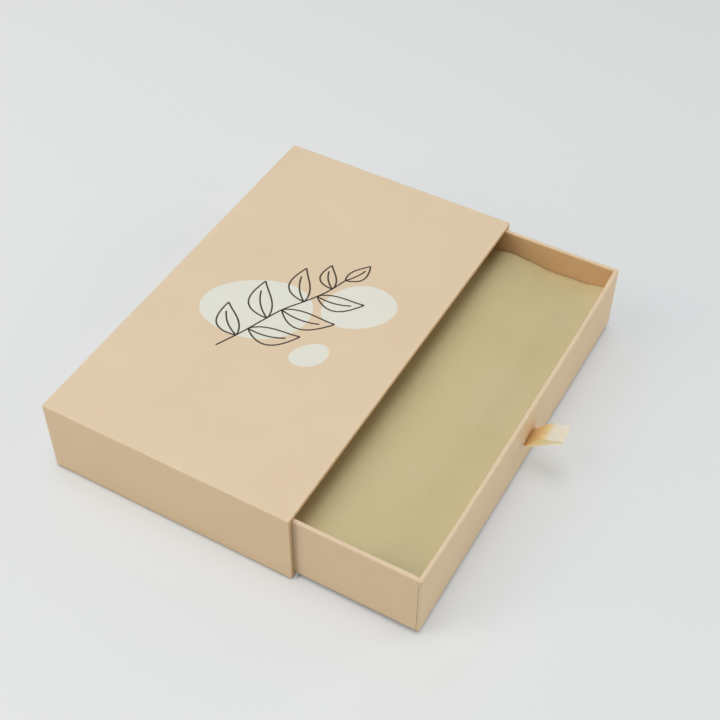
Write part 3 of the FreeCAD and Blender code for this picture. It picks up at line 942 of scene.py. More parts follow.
@dataclass
class PaperCase:
    """A case in one folded paper: what the sleeve's wrap and the tray's have in common.

    The paper starts with a flap, goes up the outside, over the wall's edge and down inside.
    Its reliefs settle to nothing towards its flaps, and its folds get a lighter tone over a width, part
    wear and part painted highlight.
    """

    finishes: Finishes
    paper: float = 0.15 * MM
    wall: float = 2.4 * MM
    fold_radius: float = 0.45 * MM
    inner_radius: float = 0.35 * MM
    flap: float = 15.0 * MM
    step: float = 4.0 * MM
    settle: float = 6.0 * MM
    # How far the lighter fold tone reaches, part wear and part painted highlight.
    worn: float = 0.9 * MM

    def fold(
        self,
        node: str,
        axes: Axes,
        edge_radii: tuple[float, float],
        inner_end: float,
        levels: Sequence[float],
        lines: dict[Side, Sequence[float]],
    ) -> FoldedPaper:
        """Fold the paper to the size of a node's box.

        Args:
            node: The node that the paper stands for.
            axes: The frame axes of its outline and of its section's rise.
            edge_radii: The radii of the outer and the inner fold on the wall's edge.
            inner_end: The rise at which the paper ends inside.
            levels: Rises that get a row of their own.
            lines: Places on the sides that get a column of their own.

        Returns:
            The folded paper, still without relief.
        """
        *across, up = axes.value
        low, high = (corner[up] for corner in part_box(node))
        corners = [
            (self.flap, low),
            (0.0, low),
            (0.0, high),
            (self.wall, high),
            (self.wall, inner_end),
        ]
        section = Section.folded(corners, [self.fold_radius, *edge_radii], levels, self.step)
        middle, half = (tuple(values[across]) for values in middle_and_half(node))
        outline = Outline(middle, half, self.fold_radius, self.inner_radius, self.wall, self.step, lines)
        return FoldedPaper(section, outline, axes)

    def finish_wrap(
        self, name: str, wrap: FoldedPaper, body: Body, node: str, masks: dict[str, Array], hole: Array
    ) -> None:
        """Make the wrap's piece, with its paper's thickness on the inside.

        Args:
            name: The piece's name.
            wrap: The folded paper, with its relief.
            body: The body that it moves with.
            node: The node that it stands for.
            masks: Its masks, besides that of its folds.
            hole: True for each face that is left out.
        """
        piece = wrap.build(name, {"fold": wrap.fold_mask(self.worn), **masks}, hole)
        thicken(piece, self.paper)
        place_piece(piece, self.finishes[Slot.WRAP], body, [node])


@dataclass
class Sleeve(PaperCase):
    """The outer case: its wrap, open below between its flaps, with mitres at the mouth's corners."""

    mouth_radius: float = 0.26 * MM
    turn_in: float = 15.0 * MM
    # The share of the painted inside shade that the mouth's face gets.
    painted_mouth_shade: float = 0.6
    mitre: float = 0.2 * MM
    mitre_share: float = 0.8
    ripple: Ripple = Ripple(seed=11, height=0.05 * MM, shortest=45 * MM, longest=130 * MM)

    def relief(self, points: Array) -> Array:
        """Give how far the wrap's faces stand proud of flat."""
        return self.ripple.at(points)

    def build(self) -> None:
        """Fold the wrap round the case."""
        low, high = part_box("sleeve_wrap")
        window = (low.x + self.flap, high.x - self.flap)
        reach = (high.y - low.y) / 2.0 - self.flap
        wrap = self.fold(
            "sleeve_wrap",
            Axes.FRONT_ON,
            (self.mouth_radius, self.fold_radius),
            high.x - self.turn_in,
            window,
            {Side.LOW_B: (-reach, reach)},
        )
        along, across, up = wrap.face_middles()
        hole = (up < low.z + self.paper) & between(across, -reach, reach) & between(along, *window)
        off_table = ease(wrap.points[..., 2], low.z + self.fold_radius, self.settle)
        wrap.raise_by(self.relief(wrap.points) * off_table * wrap.off_base(self.settle))
        section = wrap.section
        on_mouth = section.up > 0.9
        past_fold = on_mouth & (section.inset > self.fold_radius)
        # Painted shade: inward faces get the whole inside multiply, and the mouth face a share of it.
        tint = np.where(section.out < -0.5, 1.0, np.where(on_mouth, self.painted_mouth_shade, 0.0))
        masks = {
            "seam": np.where(past_fold[:, None] & (wrap.reach < self.mitre), self.mitre_share, 0.0),
            "inside": np.broadcast_to(tint[:, None], wrap.shape),
        }
        self.finish_wrap("sleeve_wrap_paper", wrap, Body.SLEEVE, "sleeve_wrap", masks, hole)


@dataclass
class Tray(PaperCase):
    """The drawer: its wrap, with the overlaps of the paper at its corners and the ribbon's slot.

    An overlap is one ply proud on a side wall, from its seam near the corner to its ear. The
    seam and ear marks are places beside these edges that get a column, in millimetres.
    """

    step: float = 3.5 * MM
    seam: float = 1.3 * MM
    seam_cut: float = 1.8 * MM
    seam_slant: float = 0.7 * MM
    seam_line: float = 0.07 * MM
    seam_edge: float = 0.05 * MM
    seam_marks: tuple[float, ...] = (-0.35, -0.12, -0.05, 0.0, 0.05, 0.12, 0.4)
    ear: float = 11.0 * MM
    ear_edge: float = 1.0 * MM
    ear_marks: tuple[float, ...] = (-1.0, -0.5, 0.0, 0.5, 1.0)
    ply: float = 0.13 * MM
    ply_settle: float = 1.2 * MM
    rim_radius: float = 0.6 * MM
    rim_clear: float = 1.2 * MM
    rim_fade: float = 2.0 * MM
    crown: float = 0.2 * MM
    bow: float = 0.95 * MM
    # The painted foot shade darkens the wall just above its base fold, for the shadow where the tray nears
    # the floor: its height and strength.
    painted_foot_shade: float = 0.6 * MM
    painted_foot_shade_share: float = 0.3
    slot_rise: float = 16.0 * MM
    slot_half: tuple[float, float] = (6.5 * MM, 0.6 * MM)
    board_cells: dict[int, int] = field(default_factory=lambda: {1: 36, 2: 10})
    ripple: Ripple = Ripple(seed=23, height=0.035 * MM, shortest=40 * MM, longest=120 * MM)

    def build(self) -> None:
        """Fold the wrap round the tray, cut its slot, shape it and bend the front board with it."""
        low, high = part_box("tray_wrap")
        slot_low, slot_high = self.slot_corners()
        side_lines = self.seam_lines((high.x - low.x) / 2.0)
        wrap = self.fold(
            "tray_wrap",
            Axes.PLAN,
            (self.rim_radius, self.rim_radius),
            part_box("tray_lining")[1].z,
            (slot_low[1], slot_high[1], low.z + self.seam_cut, low.z + self.fold_radius + self.painted_foot_shade),
            {Side.LOW_B: side_lines, Side.HIGH_B: side_lines, Side.HIGH_A: (slot_low[0], slot_high[0])},
        )
        along, across, up = wrap.face_middles()
        hole = (
            (along > high.x - self.paper)
            & between(across, slot_low[0], slot_high[0])
            & between(up, slot_low[1], slot_high[1])
        )
        self.slant_seam(wrap, low.z)
        wrap.raise_by(self.relief(wrap))
        self.arch_rim(wrap, high.z)
        on_front = wrap.points[..., 0] > high.x - self.wall - 2.0 * self.paper
        on_front &= (wrap.section.rise > low.z)[:, None]
        wrap.points[..., 0] += np.where(on_front, self.front_bow(wrap.points), 0.0)
        masks = self.masks(wrap, low.z, high.z)
        self.finish_wrap("tray_wrap_paper", wrap, Body.TRAY, "tray_wrap", masks, hole)
        self.bend_front_board()

    def seam_lines(self, half: float) -> list[float]:
        """List the places on a side wall that the overlap's two edges need, at both ends.

        Args:
            half: Half the wall's length.

        Returns:
            Places along the wall, from its middle.
        """
        places = [self.seam + np.array(self.seam_marks) * MM, self.ear + np.array(self.ear_marks) * MM]
        near = half - np.concatenate(places)
        return [*near.tolist(), *(-near).tolist()]

    def slot_corners(self) -> tuple[Array, Array]:
        """Find the ribbon slot's low and high corners, in Y and Z, from the ribbon that passes it.

        Returns:
            The low and the high corner.
        """
        middle = middle_and_half("pull_ribbon")[0][1]
        centre = np.array([middle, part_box("tray_base_paper")[0].z + self.slot_rise])
        return centre - self.slot_half, centre + self.slot_half

    def slant_seam(self, wrap: FoldedPaper, floor: float) -> None:
        """Cut the overlap's edge slantwise near the base, towards the corner.

        The seam slides towards the corner by the slant times the share of height still missing
        to the top of the cut. The slide falls to nothing evenly, towards the corner's fold on
        one side of the seam and over twice the seam's distance on the other.

        Args:
            wrap: The paper whose points slide.
            floor: The height of the wrap's underside.
        """
        outer = wrap.section.inset[:, None] < self.wall / 2.0
        missing = np.clip((floor + self.seam_cut - wrap.section.rise[:, None]) / self.seam_cut, 0.0, 1.0)
        inner_part = (wrap.reach - self.fold_radius) / (self.seam - self.fold_radius)
        outer_part = (3.0 * self.seam - wrap.reach) / (2.0 * self.seam)
        near = np.clip(np.minimum(inner_part, outer_part), 0.0, 1.0)
        slide = np.where(self.on_sides(wrap) & outer, missing * near * self.seam_slant, 0.0)
        column_way = np.where(wrap.side < 2, 1.0, -1.0)
        signed = slide * np.sign(wrap.along) * column_way
        wrap.points = wrap.points + signed[..., None] * wrap.tangents

    @staticmethod
    def on_sides(wrap: FoldedPaper) -> Array:
        """Tell which points lie on the two side walls, where the overlaps are."""
        return wrap.side % 2 == 0

    def relief(self, wrap: FoldedPaper) -> Array:
        """Give how far the wrap stands proud: an overlap is a ply high, and the ripple is everywhere.

        Args:
            wrap: The folded paper.

        Returns:
            One height for each point.
        """
        step_up = ease(wrap.reach, self.seam - self.seam_edge, 2.0 * self.seam_edge)
        step_down = ease(wrap.reach, self.ear - self.ear_edge, 2.0 * self.ear_edge)
        overlap = np.where(self.on_sides(wrap), self.ply * (step_up - step_down), 0.0)
        ripple = self.ripple.at(wrap.points) * wrap.off_base(self.settle)
        return overlap * wrap.off_base(self.ply_settle) + ripple

    def arch_rim(self, wrap: FoldedPaper, top: float) -> None:
        """Arch the rim: it rises by the crown times 1 less the squared place across the wall.

        Args:
            wrap: The paper whose points rise.
            top: The height of the rim.
        """
        across = 2.0 * wrap.section.inset / self.wall - 1.0
        at_rim = wrap.section.rise > top - 1.05 * self.rim_radius
        arch = np.where(at_rim, np.clip(1.0 - across**2, 0.0, 1.0), 0.0)
        wrap.points[..., 2] += self.crown * arch[:, None]

    def masks(self, wrap: FoldedPaper, floor: float, top: float) -> dict[str, Array]:
        """Give the masks of the seams, with the painted shade along the base fold among them, and of the
        painted shade inside.

        Args:
            wrap: The paper in its last shape.
            floor: The height of its underside.
            top: The height of its rim.

        Returns:
            Values for each point, by name.
        """
        height = wrap.points[..., 2]
        # Painted shade: the lowest stretch of the wall is marked darker, for the shadow under the tray.
        painted_foot_shade = 1.0 - ease(height, floor + self.fold_radius, self.painted_foot_shade)
        below_rim = ease(top - height, self.rim_clear, self.rim_fade)
        on_seam = self.on_sides(wrap) & (np.abs(wrap.reach - self.seam) < self.seam_line)
        line = np.maximum(np.where(on_seam, below_rim, 0.0), painted_foot_shade * self.painted_foot_shade_share)
        outside = wrap.section.inset[:, None] < self.fold_radius
        # Painted shade on the inward faces.
        inside = np.broadcast_to((wrap.section.out < -0.5)[:, None], wrap.shape)
        return {"seam": np.where(outside, line, 0.0), "inside": inside.astype(float)}

    def front_bow(self, points: Array) -> Array:
        """Give how far the front wall stands out of its plane: it bulges most along its rim.

        The bulge is the bow times 1 less the fourth power of the place along the wall, times
        the share of the wall's height to the power 1.5.

        Args:
            points: Points of the front wall.

        Returns:
            One distance along +X for each point.
        """
        low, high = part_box("tray_wrap")
        along = np.clip(2.0 * (points[..., 1] - low.y) / (high.y - low.y) - 1.0, -1.0, 1.0)
        share = np.clip((points[..., 2] - low.z) / (high.z - low.z), 0.0, 1.0)
        return self.bow * (1.0 - along**4) * share**1.5

    def bend_front_board(self) -> None:
        """Bulge a copy of the front board with its wrap, cut fine enough to bend, and let it take over."""
        node = "tray_front_board"
        work = bmesh.new()
        work.from_mesh(frame["nodes"][node].data)
        bmesh.ops.remove_doubles(work, verts=work.verts, dist=SAME_POINT)
        low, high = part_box(node)
        for axis, count in self.board_cells.items():
            way = np.eye(3)[axis]
            for level in np.linspace(low[axis], high[axis], count + 1)[1:-1]:
                parts = [*work.verts, *work.edges, *work.faces]
                bmesh.ops.bisect_plane(
                    work, geom=parts, plane_co=way * level, plane_no=way, dist=SAME_POINT
                )
        mesh = bpy.data.meshes.new("tray_front_board_bowed")
        work.to_mesh(mesh)
        work.free()
        places = np.zeros(len(mesh.vertices) * 3, np.float32)
        mesh.vertices.foreach_get("co", places)
        places = places.reshape(-1, 3)
        places[:, 0] += self.front_bow(places)
        mesh.vertices.foreach_set("co", places.ravel())
        piece = add_object("tray_front_board_bowed", mesh)
        place_piece(piece, self.finishes[Slot.BOARD], Body.TRAY, [node])


# Ribbon

@dataclass
class PullRibbon:
    """The loop of ribbon that pulls the tray: one strip, folded at its tip.

    Each pair is the start and the width of an ease: where the strip hangs free outside the
    tray, which part of its reach is its tip, over which parts of its length the bow of its
    near edge starts and ends, and where it turns over.
    """

    finishes: Finishes
    width: float = 12.0 * MM
    length: float = 75.7 * MM
    thickness: float = 0.22 * MM
    glue: float = 0.015 * MM
    pitch: float = 0.35 * MM
    reach: float = 18.4 * MM
    rise: float = 12.0 * MM
    bow: float = 4.0 * MM
    near_bow: float = 0.3 * MM
    root: float = 2.0 * MM
    root_slack: float = 0.1 * MM
    under_bend: float = 3.0 * MM
    over_bend: float = 11.0 * MM
    foot_bend: float = 1.5 * MM
    tip_radius: float = 0.7 * MM
    tail: float = 11.0 * MM
    step: float = 0.5 * MM
    columns: int = 17
    wave: float = 0.22 * MM
    curl: float = 0.35 * MM
    slant: float = -0.8 * MM
    twist: float = -0.8 * MM
    waves: float = 5.0
    wave_slant: float = 0.9
    hangs_free: tuple[float, float] = (1.0 * MM, 6.0 * MM)
    tip_part: tuple[float, float] = (0.55, 0.45)
    bow_starts: tuple[float, float] = (0.55, 0.1)
    bow_ends: tuple[float, float] = (0.68, 0.14)
    turn_over: tuple[float, float] = (0.47, 0.03)

    def route(self) -> BentLine:
        """Bend the strip's middle line in the XZ plane, from its inner tail round to its outer one.

        Returns:
            The bent line.
        """
        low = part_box("pull_ribbon")[0]
        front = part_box("tray_wrap")[1].x
        outer = low.x + self.thickness / 2.0 + self.glue
        inner = outer + self.pitch
        level = low.z + self.tail
        half = self.pitch / 2.0
        run = np.array([self.reach, self.rise])
        run /= np.linalg.norm(run)
        square = np.array([-run[1], run[0]])
        tip = np.array([front + self.reach, level + self.rise])
        root = np.array([front + self.root, level])
        corners = [
            (inner, low.z),
            (inner, level - half),
            (root[0], level - half),
            tuple(tip - square * self.tip_radius),
            tuple(tip + square * self.tip_radius),
            tuple((root + tip) / 2.0 + square * self.bow),
            (front + self.root / 2.0, level + half),
            (outer, level + half),
            (outer, low.z),
        ]
        bend = half + self.root_slack
        tip_bend = 0.95 * self.tip_radius
        radii = [
            bend,
            self.under_bend,
            tip_bend,
            tip_bend,
            self.over_bend,
            self.foot_bend,
            bend + self.pitch,
        ]
        return BentLine.through(corners, radii, self.step)

    def build(self) -> None:
        """Carry the strip's width along its route and give it its waves and curl.

        A point lies at the route's point, plus its place across the strip on the Y axis.
        Outside the tray it moves along the route's normal by a slow wave, by the curl times
        its squared place across, and by the near edge's bow times its place across. The
        tip's far corner is drawn back and hangs lower.
        """
        route = self.route()
        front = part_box("tray_wrap")[1].x
        across = np.sin(np.linspace(-0.5, 0.5, self.columns) * math.pi)[None] * 0.5
        run = route.run[:, None]
        share = run / self.length
        outside = route.spots[:, 0, None] - front
        free = ease(outside, *self.hangs_free)
        far_tip = ease(outside, *(part * self.reach for part in self.tip_part))
        half_way = ease(share, *self.bow_starts) * (1.0 - ease(share, *self.bow_ends))
        wave = np.sin(2.0 * math.pi * (share * self.waves + across * self.wave_slant)) * self.wave
        cup = (4.0 * across**2 - 0.4) * self.curl
        bow = -2.0 * across * half_way * self.near_bow
        lift = free * (wave * (0.4 + np.abs(across)) + cup * 0.5 - bow)
        points = np.empty((len(run), self.columns, 3))
        points[..., 0] = route.spots[:, 0, None] - route.ways[:, 1, None] * lift
        points[..., 0] += far_tip * self.slant * across * 1.4
        points[..., 1] = middle_and_half("pull_ribbon")[0][1] + across * self.width
        points[..., 2] = route.spots[:, 1, None] + route.ways[:, 0, None] * lift
        points[..., 2] += far_tip * self.twist * across * 2.0
        whole = run / run[-1]
        under = np.broadcast_to(1.0 - ease(whole, *self.turn_over), points.shape[:2])
        reach = np.clip((points[..., 0] - front) / self.reach, 0.0, 1.0)
        uv = np.stack(np.broadcast_arrays(across + 0.5, whole), axis=-1)
        quads = grid_quads(len(run), self.columns)
        piece = build_object("pull_ribbon_loop", points, quads, {"reach": reach, "under": under}, uv)
        thicken(piece, self.thickness, 0.0)
        place_piece(piece, self.finishes[Slot.RIBBON], Body.TRAY, ["pull_ribbon"])


# Contents

@dataclass
class Contents:
    """What lies in the tray: a soft slab, and the loose sheet on it.

    The profile gives the sheet's height over the slab, as knots of place and height in
    millimetres, and its window is the number of fine points that it is averaged over.
    """

    finishes: Finishes
    slab_radius: float = 3.0 * MM
    slab_draw: float = 0.9 * MM
    slab_crown: float = 0.35 * MM
    slab_step: float = 5.0 * MM
    slab_stiffness: float = 0.4
    sheet_thickness: float = 0.2 * MM
    sheet_step: float = 1.1 * MM
    sheet_spread: float = 0.25 * MM
    clearance: float = 0.25 * MM
    swell: Ripple = Ripple(seed=5, height=0.22 * MM, shortest=45 * MM, longest=110 * MM)
    crumple: Ripple = Ripple(seed=8, height=0.05 * MM, shortest=7 * MM, longest=22 * MM, waves=15)
    crumple_stretch: float = 0.45
    profile: tuple[tuple[float, float], ...] = (
        (0.0, 3.0), (20.0, 1.8), (40.0, 1.1), (55.0, 2.9), (65.0, 4.1), (70.5, 5.1),
        (75.0, 5.2), (80.0, 4.5), (89.5, 3.55), (94.5, 2.55), (99.0, 2.45), (104.0, 2.6),
        (108.5, 3.0), (113.0, 2.7), (118.0, 3.1), (123.0, 4.5), (128.0, 4.95),
    )
    profile_reach: tuple[float, float] = (-20.0 * MM, 150.0 * MM)
    profile_points: int = 1701
    profile_window: int = 101

    def build(self) -> None:
        """Make the slab and then the sheet that lies on it."""
        self.build_sheet(self.build_slab())

    def build_slab(self) -> bpy.types.Object:
        """Make the slab: a rounded block whose sides draw in between its corners.

        A point of the block is held inside the block less its radius, and the point is that
        held place plus the radius towards where it was. The sides then move in by the draw
        times 1 less the squared share of the way to the corner, and by less of it near the
        top and the base, where the stiffness holds them. The top rises by the crown in the
        same way.

        Returns:
            The slab's object.
        """
        middle, half = middle_and_half("cushion_pad")
        half[2] -= self.slab_crown
        middle[2] -= self.slab_crown
        points, quads = rounded_block(half, self.slab_radius, self.slab_step)
        shares = points / half
        hold = np.clip(1.0 - shares**2, 0.0, 1.0)
        draw = self.slab_draw * (self.slab_stiffness + (1.0 - self.slab_stiffness) * hold[:, 2])
        for axis in (0, 1):
            points[:, axis] -= shares[:, axis] ** 3 * draw * hold[:, 1 - axis]
        points[:, 2] += self.slab_crown * np.clip(shares[:, 2], 0.0, 1.0) * hold[:, 0] * hold[:, 1]
        piece = build_object("cushion_slab", points + middle, quads)
        place_piece(piece, self.finishes[Slot.PAD], Body.TRAY, ["cushion_pad"])
        return piece

    def level(self, along: Array) -> Array:
        """Give the profile's height: it runs straight between its knots, averaged over its window.

        Args:
            along: Places across the tray, from the sheet's first edge.

        Returns:
            One height for each place.
        """
        knots = np.array(self.profile) * MM
        fine = np.linspace(*self.profile_reach, self.profile_points)
        window = np.hanning(self.profile_window)
        height = np.pad(np.interp(fine, knots[:, 0], knots[:, 1]), self.profile_window // 2, mode="edge")
        return np.interp(along, fine, np.convolve(height, window / window.sum(), mode="valid"))

    def build_sheet(self, slab: bpy.types.Object) -> None:
        """Lay the sheet: its height is a soft profile across the tray, plus a swell and a crumple.

        Args:
            slab: The slab that the sheet lies on.
        """
        low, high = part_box("kraft_sheet")
        pad_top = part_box("cushion_pad")[1].z
        x, y = (
            np.linspace(
                low[axis] - self.sheet_spread,
                high[axis] + self.sheet_spread,
                int(math.ceil((high[axis] - low[axis]) / self.sheet_step)) + 1,
            )
            for axis in (0, 1)
        )
        points = np.zeros((len(y), len(x), 3))
        points[..., 0], points[..., 1] = np.meshgrid(x, y)
        relief = self.swell.at(points) + self.crumple.at(points * [1.0, self.crumple_stretch, 1.0])
        floor = pad_top + self.clearance + self.sheet_thickness
        points[..., 2] = np.maximum(pad_top + self.level(x - low.x) + relief, floor)
        piece = build_object("kraft_sheet_laid", points, grid_quads(len(y), len(x)))
        thicken(piece, self.sheet_thickness)
        place_piece(piece, self.finishes[Slot.SHEET], Body.TRAY, ["kraft_sheet"])


def rounded_block(half: Array, radius: float, step: float) -> tuple[Array, Array]:
    """Make a block with rounded edges about the origin, of quads with shared points.

    The points lie on a lattice over the six faces. Each is held inside the block less the
    radius, and then moved out from there by the radius towards its place on the lattice.

    Args:
        half: The half sizes.
        radius: The radius of the edges.
        step: The widest gap between points on the flat parts.

    Returns:
        Points, and quads that face outwards.
    """
    marks = []
    for reach in half:
        even = np.linspace(-(reach - radius), reach - radius, int(math.ceil(2.0 * reach / step)) + 1)
        ends = reach - radius * np.array([0.0, 0.25, 0.5, 0.75])
        marks.append(np.unique(np.round(np.concatenate([even, ends, -ends]), 9)))
    counts = [len(mark) for mark in marks]
    codes: list[Array] = []
    for axis in range(3):
        second, third = (axis + 1) % 3, (axis + 2) % 3
        for face in (0, counts[axis] - 1):
            rows, columns = np.meshgrid(np.arange(counts[second]), np.arange(counts[third]), indexing="ij")
            lattice = np.zeros((*rows.shape, 3), int)
            lattice[..., axis], lattice[..., second], lattice[..., third] = face, rows, columns
            code = (lattice[..., 0] * counts[1] + lattice[..., 1]) * counts[2] + lattice[..., 2]
            quads = np.stack([code[:-1, :-1], code[1:, :-1], code[1:, 1:], code[:-1, 1:]], axis=-1)
            codes.append((quads if face else quads[..., ::-1]).reshape(-1, 4))
    used, quads = np.unique(np.concatenate(codes), return_inverse=True)
    index = (used // (counts[1] * counts[2]), used // counts[2] % counts[1], used % counts[2])
    points = np.stack([mark[places] for mark, places in zip(marks, index)], axis=1)
    held = np.clip(points, radius - half, half - radius)
    away = points - held
    away /= np.maximum(np.linalg.norm(away, axis=1, keepdims=True), 1e-12)
    return held + away * radius, quads.reshape(-1, 4)


# Print on the sleeve's top

@dataclass(frozen=True)
class Pebble:
    """A rounded patch of pale ink: where it lies, its half sizes, its turn and its unevenness.

    Its place and half sizes are in millimetres.
    """

    middle: tuple[float, float]
    half: tuple[float, float]
    turn: float
    lobe: float
    phase: float

    def grid(self, count: int) -> tuple[Array, Array]:
        """Fill the patch with quads.

        A square grid is pressed into a round one: u becomes u times the root of 1 less half
        of v squared, and the same the other way round. The round one is scaled by 1 plus
        waves of two and three lobes, stretched to the half sizes and turned.

        Args:
            count: How many quads lie across the patch.

        Returns:
            Points with two coordinates, and quads.
        """
        even = np.linspace(-1.0, 1.0, count + 1)
        u, v = np.meshgrid(even, even)
        round_u = u * np.sqrt(1.0 - v * v / 2.0)
        round_v = v * np.sqrt(1.0 - u * u / 2.0)
        angle = np.arctan2(round_v, round_u)
        lobes = np.cos(2.0 * angle + self.phase) + 0.6 * np.sin(3.0 * angle - self.phase)
        swell = 1.0 + self.lobe * lobes
        long = round_u * swell * self.half[0]
        short = round_v * swell * self.half[1]
        cosine, sine = math.cos(self.turn), math.sin(self.turn)
        flat = np.stack([long * cosine - short * sine, long * sine + short * cosine], axis=-1)
        return (flat + np.array(self.middle)).reshape(-1, 2) * MM, grid_quads(count + 1, count + 1)


@dataclass(frozen=True)
class Leaf:
    """A pointed leaf in outline: its base, the way it points and its size, in millimetres."""

    base: tuple[float, float]
    heading: float
    length: float
    width: float
    bend: float = 0.12
    points: int = 33
    rib_share: float = 0.78

    def strokes(self) -> list[Array]:
        """Draw the leaf's two edges and its midrib.

        At share t of its length an edge stands away from the midrib by half the width times
        the sine of pi times t to the power 0.8. The midrib bows by 4 t times 1 less t, times
        the bend and the length, and is drawn over its own share of the length.

        Returns:
            Three strokes, each an array of points.
        """
        share = np.linspace(0.0, 1.0, self.points)
        bow = self.bend * self.length * share * (1.0 - share) * 4.0
        belly = 0.5 * self.width * np.sin(math.pi * share**0.8)
        way = np.array([math.cos(self.heading), math.sin(self.heading)])
        square = np.array([-way[1], way[0]])
        spine = np.array(self.base) + share[:, None] * self.length * way + bow[:, None] * square
        edge = belly[:, None] * square
        return [(spine + edge) * MM, (spine - edge) * MM, spine[share < self.rib_share] * MM]


@dataclass
class TopPrint:
    """The print on the sleeve's top: three pale pebble shapes and a twig drawn in one fine line.

    The stem's points are in millimetres, and each film's height is that of its face. The end
    shares say where a stroke is sampled near its ends, in half widths from them, and its
    even samples start a little further in.
    """

    sleeve: Sleeve
    ground: bpy.types.Material
    ink: bpy.types.Material
    line_width: float = 0.88 * MM
    line_end: float = 0.004 * MM
    end_shares: tuple[float, ...] = (0.0, 0.05, 0.2, 0.45, 1.0)
    even_start: float = 1.4
    stroke_step: float = 0.7 * MM
    least_samples: int = 8
    film: float = 0.02 * MM
    ground_height: float = 0.02 * MM
    ink_height: float = 0.04 * MM
    pebble_cells: int = 26
    stem_points: int = 80
    pebbles: tuple[Pebble, ...] = (
        Pebble((-15.0, -9.0), (28.0, 22.0), 0.5, 0.05, 0.7),
        Pebble((30.0, 17.0), (20.0, 15.0), 0.9, 0.05, 2.1),
        Pebble((25.0, -24.0), (10.0, 7.5), 0.9, 0.04, 0.2),
    )
    stem: tuple[tuple[float, float], ...] = (
        (-19.0, -41.0), (-13.0, -28.0), (-8.0, -15.0), (-3.0, -3.0), (4.0, 8.0), (10.0, 19.0), (14.0, 31.0),
    )
    leaves: tuple[Leaf, ...] = (
        Leaf((-14.0, -30.3), 2.3, 24.0, 11.0),
        Leaf((-11.2, -23.4), 0.3, 27.0, 11.5, -0.12),
        Leaf((-7.0, -12.5), 2.15, 27.0, 12.0),
        Leaf((-3.4, -3.8), 0.15, 29.0, 12.0, -0.12),
        Leaf((3.2, 6.8), 2.05, 25.0, 11.0),
        Leaf((7.2, 13.6), 0.25, 25.0, 10.5, -0.12),
        Leaf((11.2, 22.0), 2.1, 18.0, 8.5),
        Leaf((14.0, 31.0), 1.2, 17.0, 8.0, -0.08),
    )

    def build(self) -> None:
        """Print the pebbles and then the twig over them."""
        patches = [pebble.grid(self.pebble_cells) for pebble in self.pebbles]
        self.build_film("pebble_print", patches, self.ground_height, self.ground)
        stem = smooth_run(np.array(self.stem) * MM, self.stem_points)
        strokes = [stem, *(stroke for leaf in self.leaves for stroke in leaf.strokes())]
        self.build_film("twig_print", [self.draw(stroke) for stroke in strokes], self.ink_height, self.ink)

    def draw(self, stroke: Array) -> tuple[Array, Array]:
        """Give a stroke its width, with round ends.

        The stroke is sampled evenly and closely at its ends. Each sample makes two points,
        half the width to its left and right, and near an end the half width is that of the
        half circle that closes the stroke.

        Args:
            stroke: The points that it follows.

        Returns:
            Points with two coordinates, and quads.
        """
        half = self.line_width / 2.0
        run = run_along(stroke)
        close = half * np.array(self.end_shares)
        inner = half * self.even_start
        count = max(self.least_samples, int(run[-1] / self.stroke_step))
        even = np.linspace(inner, run[-1] - inner, count)
        marks = np.concatenate([close, even, run[-1] - close[::-1]])
        spots = np.stack([np.interp(marks, run, stroke[:, axis]) for axis in range(2)], axis=1)
        ways = np.gradient(spots, marks, axis=0)
        ways /= np.linalg.norm(ways, axis=1, keepdims=True)
        to_end = np.minimum(np.minimum(marks, run[-1] - marks) / half, 1.0)
        width = half * np.sqrt(np.clip(1.0 - (1.0 - to_end) ** 2, 0.0, 1.0)) + self.line_end
        side = np.stack([-ways[:, 1], ways[:, 0]], axis=1) * width[:, None]
        edges = np.stack([spots + side, spots - side], axis=1)
        return edges.reshape(-1, 2), grid_quads(len(marks), 2)[:, ::-1]

    def build_film(
        self, name: str, parts: list[tuple[Array, Array]], height: float, material: bpy.types.Material
    ) -> None:
        """Lay flat parts on the wrap's top as one thin film.

        Args:
            name: The piece's name.
            parts: Points and quads of each part.
            height: How far the film's face stands above the wrap.
            material: The film's material.
        """
        counts = np.cumsum([0, *(len(points) for points, _quads in parts)])
        flat = np.concatenate([points for points, _quads in parts])
        quads = np.concatenate([quads + count for (_points, quads), count in zip(parts, counts)])
        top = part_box("sleeve_wrap")[1].z
        points = np.concatenate([flat, np.full((len(flat), 1), top)], axis=1)
        points[:, 2] += self.sleeve.relief(points) + height
        first = points[quads[:, 1]] - points[quads[:, 0]]
        last = points[quads[:, 3]] - points[quads[:, 0]]
        faces_up = np.cross(first, last)[:, 2:] > 0.0
        piece = build_object(name, points, np.where(faces_up, quads, quads[:, ::-1]))
        piece.data.shade_flat()
        thicken(piece, self.film)
        place_piece(piece, material, Body.SLEEVE)


def smooth_run(points: Array, count: int) -> Array:
    """Run a smooth line through points, by a cubic on each gap.

    On a gap the line is half the sum of the four nearest points, each times a cubic in the
    share t of the gap. It passes both ends of the gap, each along the line between the
    neighbours of that end.

    Args:
        points: The points, with two coordinates each.
        count: How many points the line gets.

    Returns:
        The line's points.
    """
    ends = np.concatenate([[2.0 * points[0] - points[1]], points, [2.0 * points[-1] - points[-2]]])
    place = np.linspace(0.0, len(points) - 1.0, count)
    gap = np.minimum(place.astype(int), len(points) - 2)
    share = (place - gap)[:, None]
    before, start, end, after = (ends[gap + offset] for offset in range(4))
    linear = (end - before) * share
    square = (2.0 * before - 5.0 * start + 4.0 * end - after) * share**2
    cubic = (3.0 * start - before - 3.0 * end + after) * share**3
    return 0.5 * (2.0 * start + linear + square + cubic)


# Studio

